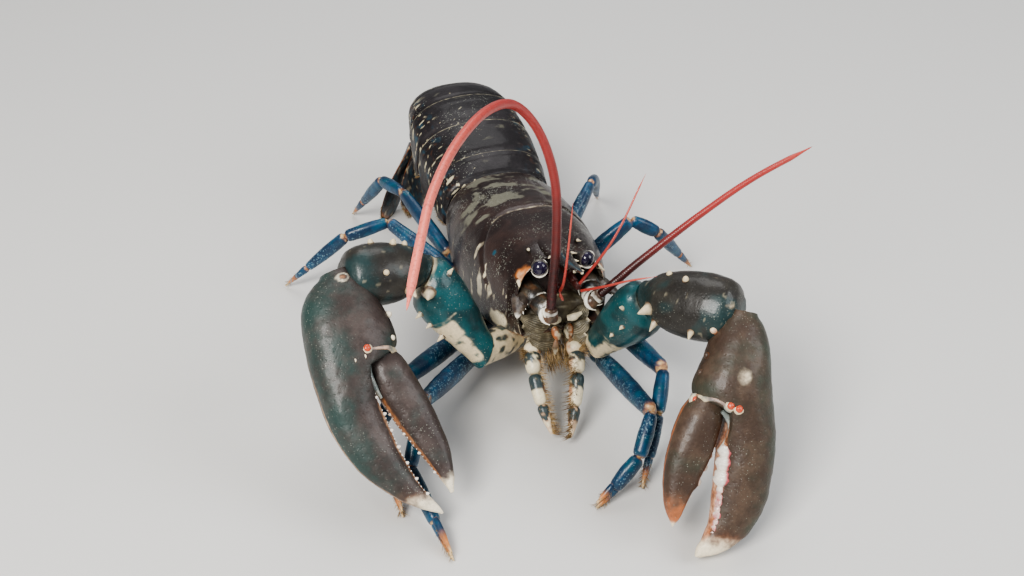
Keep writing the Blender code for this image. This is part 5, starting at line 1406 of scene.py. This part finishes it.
# Claws
#
# The cutter is the right claw, slim with small sharp teeth. The crusher is the left one, deep
# and swollen with large molar teeth. Both are dark olive-brown, orange at the edges and tips.

PALM_SIDES = 80
FINGER_SIDES = 60
HALF_STEP_PALM = 0.007                          # about half a step round, so that the edges' paint is even
HALF_STEP_FINGER = 0.009
CLAW_SHAPES = {
    "right": {
        "outer": ((-5, -9.0), (1, -17.5), (10, -24.0), (25, -28.0), (44, -30.5), (66, -30.5),
                  (86, -25.0), (102, -14.2), (109, -7.2), (113, -2.2),
                  (116, 1.4)),
        "inner": ((-5, 5.0), (2, 8.5), (10, 11.0), (22, 12.8), (33, 13.2), (39, 10.5), (46, 2.5),
                  (53, -3.5), (60, -5.8),
                  (66, -6.0), (86, -5.0), (102, -2.2), (109, 0.8), (113, 2.4), (116, 2.9)),
        "socket": ((30, 20.0), (36, 13.0), (39, 9.0), (41, 2.0), (43, -6.2), (64, -6.0), (68, 3.0),
                   (116, 6.0)),
        "thick": ((-5, 12.0), (2, 20.0), (12, 26.0), (28, 29.0), (45, 25.0), (70, 18.0), (95, 11.0),
                  (108, 6.5), (113, 3.6), (116, 1.2)),
        "finger_low": ((37, -4.5), (44, -5.8), (52, -5.3), (60, -4.2), (75, -0.6), (90, 4.1),
                       (102, 7.7), (109, 9.2)),
        "finger_high": ((37, 9.5), (44, 12.4), (60, 15.4), (75, 17.0), (90, 16.8), (102, 13.8),
                        (109, 11.2)),
        "finger_thick": ((37, 15.0), (50, 17.0), (75, 12.0), (98, 7.0), (105, 4.0), (109, 1.4)),
        "fixed_teeth": [(47 + 2.0 * k, 0.3 + 0.9 * (k % 4 == 1), 0.5 + 0.4 * (k % 4 == 1))
                        for k in range(30)],
        "finger_teeth": [(51 + 2.1 * k, 0.2 + 0.8 * (k % 5 == 2), 0.45 + 0.35 * (k % 5 == 2))
                         for k in range(24)],
        "knobs": ((0.5, 4.6, 1.6), (3.6, 7.0, 1.8), (11.5, 10.4, 2.3), (23, 12.6, 2.3),
                  (34.5, 9.0, 1.3), (39, -12.4, 0.2), (38.8, -7.4, 0.2)),
        "condyles": ((35.7, -5.0),),
        "ligament": ((36, -3.5), (43, -6.4), (50, -6.6), (58, -5.0)),
        "flange": ((36.6, -3.6), (37.4, 1.0), (38.4, 5.5), (40.3, 9.6)),
    },
    "left": {
        "outer": ((-3, -7.0), (3, -11.0), (12, -15.0), (28, -18.6), (40, -22.0), (50, -24.6),
                  (66, -26.0), (80, -25.5),
                  (94, -20.0), (101, -13.6), (105, -7.8), (108, -1.2)),
        "inner": ((-3, 6.0), (3, 9.5), (12, 11.6), (20, 13.0), (33, 15.8), (39, 14.0), (46, 8.0),
                  (53, 2.5), (59, 0.2),
                  (74, -1.0), (90, -2.0), (98, -0.8), (104, 1.2), (108, 1.4)),
        "socket": ((30, 24.0), (36, 16.0), (39, 13.0), (41, 7.0), (43, 0.5), (58, 0.0), (62, 6.0),
                   (108, 8.0)),
        "thick": ((-3, 13.0), (3, 20.0), (12, 27.0), (28, 31.0), (50, 28.0), (75, 21.0), (95, 12.0),
                  (102, 8.0), (106, 4.6), (108, 1.8)),
        "finger_low": ((37, 0.5), (46, 0.5), (56, 1.2), (66, 3.2), (74, 5.6), (77, 6.0), (80, 7.8),
                       (86, 9.6), (92, 11.2), (97, 13.4)),
        "finger_high": ((37, 15.5), (46, 19.2), (60, 21.6), (74, 22.0), (86, 19.6), (92, 17.0),
                        (97, 14.2)),
        "finger_thick": ((37, 17.0), (50, 19.0), (70, 14.0), (88, 8.5), (94, 5.0), (97, 1.6)),
        "fixed_teeth": [(60.5, 2.6, 3.2), (65.6, 3.2, 3.7), (71.6, 3.6, 3.9), (76.6, 2.6, 2.1),
                        (79.6, 2.0, 1.8),
                        (82.4, 2.0, 2.0), (85.2, 1.6, 1.6), (88.0, 2.0, 1.9), (90.8, 1.5, 1.5),
                        (93.4, 1.5, 1.5)],
        "finger_teeth": [(58, 0.7, 1.6), (63, 0.9, 1.8), (68.5, 1.1, 2.0), (75.5, 1.3, 2.0),
                         (82, 1.0, 1.3), (86, 0.8, 1.1)],
        "knobs": ((2.6, 8.6, 2.4), (8.4, 11.6, 2.6), (20, 13.4, 1.0), (28, 14.8, 1.0)),
        "condyles": ((40.2, 1.6), (40.8, -2.2), (40.2, 14.6)),
        "ligament": ((43, 3.2), (47.5, -2.0), (54, -2.4), (59.5, 0.6)),
        "flange": ((40.4, 3.4), (38.9, 7.5), (39.0, 11.5), (40.2, 14.2)),
    },
}
CLAW_SHELLS = {
    "right": shell_material("cutter_claw_shell", (0.042, 0.029, 0.0255), (0.078, 0.058, 0.052),
                            coat=0.1, relief=0.4,
                            sheen=0.4, Orange=(0.50, 0.22, 0.09), Blue=(0.020, 0.052, 0.046),
                            Cream=(0.85, 0.76, 0.59),
                            numbers={"Mottle Scale": 75.0, "Speck Amount": 0.36, "Base Roughness": 0.42}),
    "left": shell_material("crusher_claw_shell", (0.056, 0.034, 0.0235), (0.098, 0.064, 0.044),
                           coat=0.1, relief=0.4,
                           sheen=0.4, Orange=(0.58, 0.19, 0.07), Blue=(0.032, 0.050, 0.034),
                           Cream=(0.84, 0.73, 0.54),
                           numbers={"Mottle Scale": 75.0, "Speck Amount": 0.32, "Base Roughness": 0.42}),
}
TEETH = shell_material("claw_teeth", (0.55, 0.50, 0.42), (0.68, 0.63, 0.55), coat=0.45, relief=0.1,
                       Cream=(0.80, 0.74, 0.66), Orange=(0.52, 0.10, 0.11),
                       numbers={"Mottle Scale": 300.0, "Speck Amount": 0.0, "Base Roughness": 0.25})
LIGAMENT = shell_material("finger_hinge", (0.17, 0.20, 0.19), (0.34, 0.36, 0.33), coat=0.3, relief=0.3,
                          Orange=(0.52, 0.075, 0.03), numbers={"Mottle Scale": 260.0, "Speck Amount": 0.0})


def claw_skin(form, frame_of, low_edge, high_edge, thickness, sides, steps, paint, socket=None):
    """A claw's body or finger between two edges, swollen in the middle and cut by a socket."""
    wrist, along, across, face = frame_of
    first, last = low_edge[0][0], low_edge[-1][0]
    rings = []
    for place in np.linspace(first + 0.6, last - 0.5, steps):
        low, high = shaped(place, low_edge), shaped(place, high_edge)
        centre = wrist + along * place + across * (low + high) / 2
        ring = oval(centre, across, face, (high - low) / 2, shaped(place, thickness) / 2, sides,
                    CLAW_SQUARENESS)
        if socket:
            wall = shaped(place, socket)
            ring = [point - across * max((point - wrist) @ across - wall, 0.0) for point in ring]
        rings.append(ring)
    tip = wrist + along * (last - 0.1) + across * (low_edge[-1][1] + high_edge[-1][1]) / 2
    skin(form, rings, paint, end=tip)


for word in ("left", "right"):
    shape = CLAW_SHAPES[word]
    wrist, along, across, face = claw_frames[word]
    crusher = word == "left"
    spot = (26.4, -2.0, 4.6, 3.8) if crusher else (0.6, -1.8, 2.4, 3.4)

    def on_claw(place, aside, share=0.5, edges=("outer", "inner", "thick")):
        """A point on the near face of the claw; share sinks it below the surface."""
        low, high = shaped(place, shape[edges[0]]), shaped(place, shape[edges[1]])
        off_middle = min(abs(aside - (low + high) / 2) / ((high - low) / 2), 0.98)
        swell = (1 - off_middle ** CLAW_SQUARENESS) ** (1 / CLAW_SQUARENESS)
        height = swell * shaped(place, shape[edges[2]]) / 2
        return wrist + along * place + across * aside + face * height * share

    def palm_paint(point, share, turn):
        patch = noise.noise(Vector(point) / 12.0)
        edge = math.cos(2 * math.pi * (turn + HALF_STEP_PALM))
        place = (point - wrist) @ along
        outer_edge = rise(-edge, 0.9955, 1.0) * rise(share, 0.15, 0.6)
        grain = 0.75 + 0.5 * noise.noise(Vector(point) / 0.9)
        bite_edge = rise(edge, 0.70, 0.88) * rise(place, 44.0, 50.0) * min(grain, 1.0)
        off_spot = math.hypot((place - spot[0]) / spot[2], ((point - wrist) @ across - spot[1]) / spot[3])
        near = rise((point - wrist) @ face, 0.0, 3.0)
        if crusher:
            barnacle = 0.42 * (1 - rise(off_spot, 0.3, 1.3)) * near
        else:
            barnacle = 0.6 * math.exp(-((off_spot - 0.8) / 0.28) ** 2) * near
        heart = near * (1 - rise(off_spot, 0.2, 0.8))
        tip = rise(share, 0.87, 0.99)
        orange = max(0.6 * outer_edge, 0.8 * bite_edge, 0.35 * rise(share, 0.84, 0.95),
                     (0.15 if crusher else 0.6) * heart)
        green = 0.6 * rise(-edge, -0.3, 1.0) + 0.45 * rise(patch, -0.3, 0.6)
        green = max(green, 0.7 * math.exp(-((share - 0.36) / 0.08) ** 2) * rise(edge, 0.1, 0.8))
        green = min(green, 1.0)
        pale = max(tip, barnacle, 0.3 * outer_edge, 0.35 * bite_edge)
        return (pale, orange, green * (1 - rise(share, 0.8, 0.95)), 0.0)

    def finger_paint(point, share, turn):
        patch = noise.noise(Vector(point) / 9.0)
        edge = math.cos(2 * math.pi * (turn + HALF_STEP_FINGER))
        hinge = 1 - rise(share, 0.0, 0.035)
        outer_edge = rise(edge, 0.985, 1.0) * 0.8
        orange = max(rise(share, 0.66 if crusher else 0.84, 1.1), 0.4 * hinge, 0.7 * outer_edge)
        grain = min(0.75 + 0.5 * noise.noise(Vector(point) / 0.9), 1.0)
        bite_edge = (0.6 if crusher else 0.7) * rise(-edge, 0.86, 0.96) * rise(share, 0.2, 0.3)
        orange = max(orange, bite_edge * grain)
        pale = rise(share, 0.93, 1.0) if crusher else rise(share, 0.83, 0.98)
        return (max(pale, 0.3 * hinge), orange, 0.45 * rise(patch, -0.1, 0.6), 0.0)

    palm_form = bmesh.new()
    claw_skin(palm_form, claw_frames[word], shape["outer"], shape["inner"], shape["thick"],
              PALM_SIDES, 150, palm_paint, shape["socket"])
    roughen(palm_form, 0.3, 7.0)
    finger_form = bmesh.new()
    claw_skin(finger_form, claw_frames[word], shape["finger_low"], shape["finger_high"],
              shape["finger_thick"], FINGER_SIDES, 90, finger_paint)
    roughen(finger_form, 0.22, 6.0)
    tooth_form = bmesh.new()
    tooth_foot = (0.0, 1.0, 0.0, 0.0) if crusher else (0.4, 0.5, 0.0, 0.0)
    if crusher:
        def molar_seat(place):
            return on_claw(place, shaped(place, shape["inner"]) - 2.3, 0.74)

        def molar_paint(point, share, turn):
            place = (point - wrist) @ along
            swell = max(tooth[2] * (abs(place - tooth[0]) < tooth[2])
                        for tooth in shape["fixed_teeth"]) or 1.0
            toward_palm = (molar_seat(place) - point) @ across / swell
            apart = min(abs(place - tooth[0]) / tooth[2] for tooth in shape["fixed_teeth"])
            blush = 0.72 * rise(place, 74.5, 78.0) * (0.85 + 0.5 * noise.noise(Vector(point) / 1.5))
            rose = max(rise(toward_palm, -0.35, 0.3), 0.5 * rise(apart, 0.6, 0.95), min(blush, 1.0))
            return (1.0 - 0.95 * rose, rose, 0.0, 0.0)

        aim = unit(across * 0.8 + face * 0.6)
        rings = []
        for place in np.linspace(57.0, 96.0, 130):
            swell = 1.1
            for tooth_place, height, radius in shape["fixed_teeth"]:
                arch = 1 - ((place - tooth_place) / (radius * 1.12)) ** 2
                swell = max(swell, radius * math.sqrt(max(0.0, arch)))
            swell *= 1.0 + 0.16 * noise.noise(Vector((place / 1.7, 4.0, 0.0)))
            rings.append(oval(molar_seat(place) + aim * 0.2 * swell, unit(np.cross(along, aim)), aim,
                              swell, swell * 0.8, 28))
        skin(tooth_form, rings, molar_paint)
        roughen(tooth_form, 0.5, 2.4)
    else:
        for place, height, radius in shape["fixed_teeth"]:
            bite = min(shaped(place, shape["inner"]), shaped(place, shape["socket"]))
            knob(tooth_form, on_claw(place, bite - 0.9, 0.8), across * 0.85 + face * 0.5,
                 height + 0.5, radius, foot=tooth_foot, sides=10)
    for place, height, radius in shape["finger_teeth"]:
        root = wrist + along * place + across * (shaped(place, shape["finger_low"]) + 0.5)
        knob(tooth_form, root, -across, height + 0.5, radius, foot=tooth_foot, sides=12)
    roughen(tooth_form, 0.1, 1.6)
    for number, (place, aside, height) in enumerate(shape["knobs"]):
        seat = on_claw(place, aside, 0.97)
        aim = across * (0.75 if aside > 0 else -0.75) + face * 0.65
        bright = number < 2 or not crusher
        knob(palm_form, seat, aim, height, 0.9 + height * 0.33, sides=16,
             tip=((0.55, 0.9, 0.0, 0.0) if crusher else CREAM) if bright else PLAIN,
             foot=(0.0, 0.3, 0.0, 0.0))
    put(palm_form, f"claw_{word}_body", CLAW_SHELLS[word], [f"claw_{word}_palm"])
    put(finger_form, f"claw_{word}_moving_finger", CLAW_SHELLS[word], [f"claw_{word}_finger"])
    put(tooth_form, f"claw_{word}_teeth", TEETH)

    hinge_form = bmesh.new()
    for place, aside in shape["condyles"]:
        seat = on_claw(place, aside, 0.95)
        knob(hinge_form, seat, face, 1.0, 2.5, tip=(0.7, 0.3, 0.0, 0.0), foot=(0.3, 0.0, 0.0, 0.0),
             sides=20)
        knob(hinge_form, seat + face * 0.4, face, 1.4, 1.7, tip=(0.0, 1.0, 0.0, 0.0),
             foot=(0.0, 1.0, 0.0, 0.0), sides=18)
    strip = [on_claw(place, aside, 0.0) + face * ((9.5 if crusher else 8.0) - 0.17 * (place - 36))
             for place, aside in shape["ligament"]]
    blade(hinge_form, strip, ((0.0, 1.0), (0.3, 1.7), (0.7, 1.5), (1.0, 0.7)),
          ((0.0, 1.0), (0.5, 1.4), (1.0, 0.5)), face,
          lambda point, share, turn: (0.35 * rise(share, 0.6, 1.0), 0.0, 0.0, 0.0))
    rim = [on_claw(place, aside, 0.97) for place, aside in shape["flange"]]
    blade(hinge_form, rim, ((0.0, 0.7), (0.5, 1.1), (0.85, 2.0), (1.0, 1.2)),
          ((0.0, 0.7), (0.4, 0.8), (1.0, 0.7)), face,
          lambda point, share, turn: (0.3 + 0.5 * rise(share, 0.5, 0.9),
                                      0.35 * (1 - rise(share, 0.4, 0.8)), 0.0, 0.0))
    roughen(hinge_form, 0.1, 1.5)
    put(hinge_form, f"claw_{word}_finger_hinge", LIGAMENT)


# Walking legs
#
# Four pairs of slender jointed legs, deep blue with fine pale specks and orange-cream joints.
# The first two pairs end in small pincers with setae, the last two in single points.

LEGS = {
    "leg_1_left": ((18, 30, 16), (22, 0, 15.5), (22, -64, 34), (11, -77, 20), (-12, -84, 1)),
    "leg_2_left": ((18, 47, 18), (34, 20, 22), (37, -42, 38), (28, -58, 26), (13, -79, 1)),
    "leg_3_left": ((18, 62, 20), (36, 62, 32), (62, 62, 52), (77, 60, 42), (108, 76, 1)),
    "leg_4_left": ((18, 78, 20), (34, 88, 30), (58, 112, 46), (66, 126, 38), (82, 160, 1)),
    "leg_1_right": ((-18, 30, 20), (-42, 14, 22), (-77, -24, 34), (-90, -46, 15), (-83, -94, 1)),
    "leg_2_right": ((-18, 46, 20), (-44, 28, 24), (-84, -9, 36), (-100, -27, 26), (-98, -62, 1)),
    "leg_3_right": ((-18, 62, 20), (-34, 74, 30), (-60, 112, 44), (-84, 114, 38), (-118, 130, 1)),
    "leg_4_right": ((-18, 78, 20), (-32, 92, 30), (-46, 136, 46), (-53, 157, 42), (-66, 190, 1)),
}
PINCER_SPREAD = 2.6
LEG = shell_material("leg_shell", (0.006, 0.030, 0.070), (0.011, 0.075, 0.150), coat=0.2, relief=0.3,
                     sheen=0.4,
                     Blue=(0.008, 0.095, 0.13), Orange=(0.50, 0.19, 0.06), Cream=(0.66, 0.50, 0.28),
                     Speck=(0.16, 0.27, 0.32),
                     numbers={"Mottle Scale": 110.0, "Speck Scale": 1300.0, "Speck Amount": 1.0,
                              "Base Roughness": 0.34})


def leg_paint(point, share, turn):
    patch = noise.noise(Vector(point) / 6.0)
    ends = max(1 - rise(share, 0.01, 0.09), rise(share, 0.91, 0.99))
    stain = rise(noise.noise(Vector(point) / 1.8 + Vector((0.5, 4.0, 9.0))), -0.25, 0.25)
    return ((0.15 + 0.5 * stain) * ends, (0.45 + 0.4 * stain) * ends, 0.55 * rise(patch, 0.0, 0.45), 0.0)


def toe_paint(point, share, turn):
    orange = max(1 - rise(share, 0.0, 0.15), rise(share, 0.3, 0.7))
    return (0.8 * rise(share, 0.55, 0.95), orange, 0.0, 0.0)


def leg_spot(strip, run, swing):
    return ((strip + 0.02 + 0.96 * run) / len(LEGS), 0.01 + 0.98 * swing / (2 * math.pi))


leg_setae = bmesh.new()
for strip, (leg_name, joints) in enumerate(LEGS.items()):
    hip, thigh, knee, shin, foot = (np.array(p, float) for p in joints)
    pincer = leg_name[4] in "12"
    size = 1.0 if pincer else 0.86
    upper_form = bmesh.new()
    segment(upper_form, hip, hip + (thigh - hip) * 0.58, [(4.3 * size, 4.7 * size)] * 3, UP, leg_paint)
    segment(upper_form, hip + (thigh - hip) * 0.55, thigh, [(4.2 * size, 4.6 * size)] * 3, UP, leg_paint)
    knee_back = knee - unit(knee - thigh) * 0.3
    segment(upper_form, thigh, knee_back,
            [(w * size, d * size) for w, d in ((3.9, 4.8), (4.1, 5.7), (4.0, 5.5), (3.3, 4.4))],
            UP, leg_paint, sides=28)
    roughen(upper_form, 0.15, 4.0)
    put(upper_form, f"{leg_name}_upper_limb", LEG, [f"{leg_name}_upper"])
    lower_form = bmesh.new()
    down = unit(foot - shin)
    segment(lower_form, knee + unit(shin - knee) * 0.3, shin,
            [(w * size, d * size) for w, d in ((3.1, 3.7), (3.7, 4.5), (3.4, 4.1))], UP, leg_paint)
    if pincer:
        beside = unit(np.cross(down, unit(np.cross(down, UP)))) * PINCER_SPREAD
        fork = shin + (foot - shin) * 0.6
        segment(lower_form, shin, fork + beside * 0.2, [(3.1, 3.7), (3.4, 4.4), (2.9, 3.6)], UP, leg_paint)
        segment(lower_form, fork - down * 1.5 + beside * 0.7, foot,
                [(2.1, 2.4), (1.5, 1.8), (0.55, 0.65)], UP, toe_paint)
        segment(lower_form, fork - down * 2.0 - beside * 0.5, foot - beside - down * 2.5,
                [(1.7, 2.2), (1.5, 1.7), (0.55, 0.65)], UP, toe_paint)
        for n in range(130):
            run = random.uniform(0.1, 0.95)
            at = fork + (foot - fork) * run
            swing = random.uniform(0.0, 2 * math.pi)
            aside = unit(np.cross(down, (math.cos(swing), math.sin(swing), 0.3)))
            bristle(leg_setae, at + aside * 1.2 + beside * random.choice((-0.6, 0.6)), aside + down * 1.2,
                    random.uniform(1.6, 3.0), 0.13, leg_spot(strip, run, swing))
    else:
        ankle = shin + (foot - shin) * 0.62
        segment(lower_form, shin, ankle, [(2.8, 3.4), (2.8, 3.5), (2.1, 2.6)], UP, leg_paint)
        segment(lower_form, ankle, foot, [(1.9, 2.2), (1.3, 1.5), (0.55, 0.6)], UP, toe_paint)
        for n in range(70):
            run = random.uniform(0.0, 0.9)
            at = ankle + (foot - ankle) * run
            swing = random.uniform(0.0, 2 * math.pi)
            aside = unit(np.cross(down, (math.cos(swing), math.sin(swing), 0.3)))
            bristle(leg_setae, at + aside * 1.0, aside + down * 1.4, random.uniform(1.2, 2.2), 0.12,
                    leg_spot(strip, run, swing))
    roughen(lower_form, 0.12, 3.5)
    put(lower_form, f"{leg_name}_lower_limb", LEG, [f"{leg_name}_lower"])
put_setae(leg_setae, "leg_setae")


# Swimmerets
#
# Four pairs of soft two-bladed limbs hang under the abdomen. Each has a short stalk and two
# thin olive-brown blades with bristles round the edge.

SWIMMERET = shell_material("swimmeret_skin", (0.060, 0.036, 0.020), (0.17, 0.105, 0.055), coat=0.1,
                           numbers={"Mottle Scale": 150.0, "Speck Amount": 0.3, "Base Roughness": 0.42})
swimmeret_setae = bmesh.new()
strip = 0
for number in range(2, 6):
    back, inward, length = edge_line(number - 0.5)
    half = shaped(number - 0.5, tuple(enumerate(RING_HALF_WIDTHS)))
    depth = min(shaped(number - 0.5, tuple(enumerate(RING_DEPTHS))), length - 4.0)
    centre = np.array((0.0, *(back + inward * (depth + 0.5))))
    downward = unit(np.array((0.0, inward[0] - 0.75, inward[1] - 0.1)))
    reach = 15.0 if number < 5 else 11.0
    for side in (-1, 1):
        word = "left" if side > 0 else "right"
        limb_form = bmesh.new()
        root = centre + SIDEWAYS * side * half * 0.52
        knee = root + downward * reach * 0.34
        segment(limb_form, root, knee, [(2.6, 1.6), (2.8, 1.7), (2.2, 1.4)], (0.0, 1.0, 0.2),
                (0.2, 0.2, 0.0, 0.0))
        for spread in (-0.28, 0.34):
            tip = knee + (downward + SIDEWAYS * side * spread) * reach * 0.8
            tip[2] = max(tip[2], 1.5)
            blade(limb_form, (knee, (knee + tip) / 2 + np.array((0.0, -1.2, 0.0)), tip),
                  ((0.0, 1.2), (0.45, 3.4), (0.8, 2.6), (1.0, 0.9)), ((0.0, 0.8), (0.5, 0.6), (1.0, 0.35)),
                  (0.0, -1.0, 0.2),
                  lambda point, share, turn: (0.15, 0.45 * rise(share, 0.5, 1.0), 0.0, 0.0))
            for k in range(44):
                lean = -1.0 + 2.0 * k / 43
                run = 1.0 - 0.55 * lean * lean
                at = knee + (tip - knee) * run + SIDEWAYS * lean * 2.6
                bristle(swimmeret_setae, at, (tip - knee) + SIDEWAYS * lean * reach * 0.8,
                        random.uniform(1.8, 3.0), 0.12,
                        ((strip + 0.5 + 0.45 * lean) / 16, 0.97 * run))
            strip += 1
        put(limb_form, f"swimmeret_{number}_{word}", SWIMMERET)
put_setae(swimmeret_setae, "swimmeret_setae")


# Side fringes
#
# A dense golden fringe of bristles follows the lower edge of each side plate of the abdomen.

fringe_form = bmesh.new()
for number in range(1, 6):
    shares = np.linspace(0.1, 0.94, 90)
    rows = [abdomen_ring(number, share) for share in shares]
    for side, index in ((1, RING_STEPS + PLATE_EDGE_STEPS), (-1, len(rows[0]) - PLATE_EDGE_STEPS)):
        strip = 2 * (number - 1) + (side > 0)
        for share, ring in zip(shares, rows):
            at = ring[index]
            inner = ring[RING_STEPS // 2]
            outward = unit(at - inner)
            aim = outward + SIDEWAYS * side * random.uniform(0.0, 0.35)
            aim = aim + np.array((0.0, random.uniform(-0.1, 0.5), 0.0))
            bristle(fringe_form, at - outward * 0.6, aim, random.uniform(2.0, 3.6), 0.15,
                    ((strip + share) / 10, 0.5))
put_setae(fringe_form, "abdomen_side_fringes")


low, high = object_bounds()
{"cad": [list(cad_low), list(cad_high)], "visual": [list(low), list(high)]}
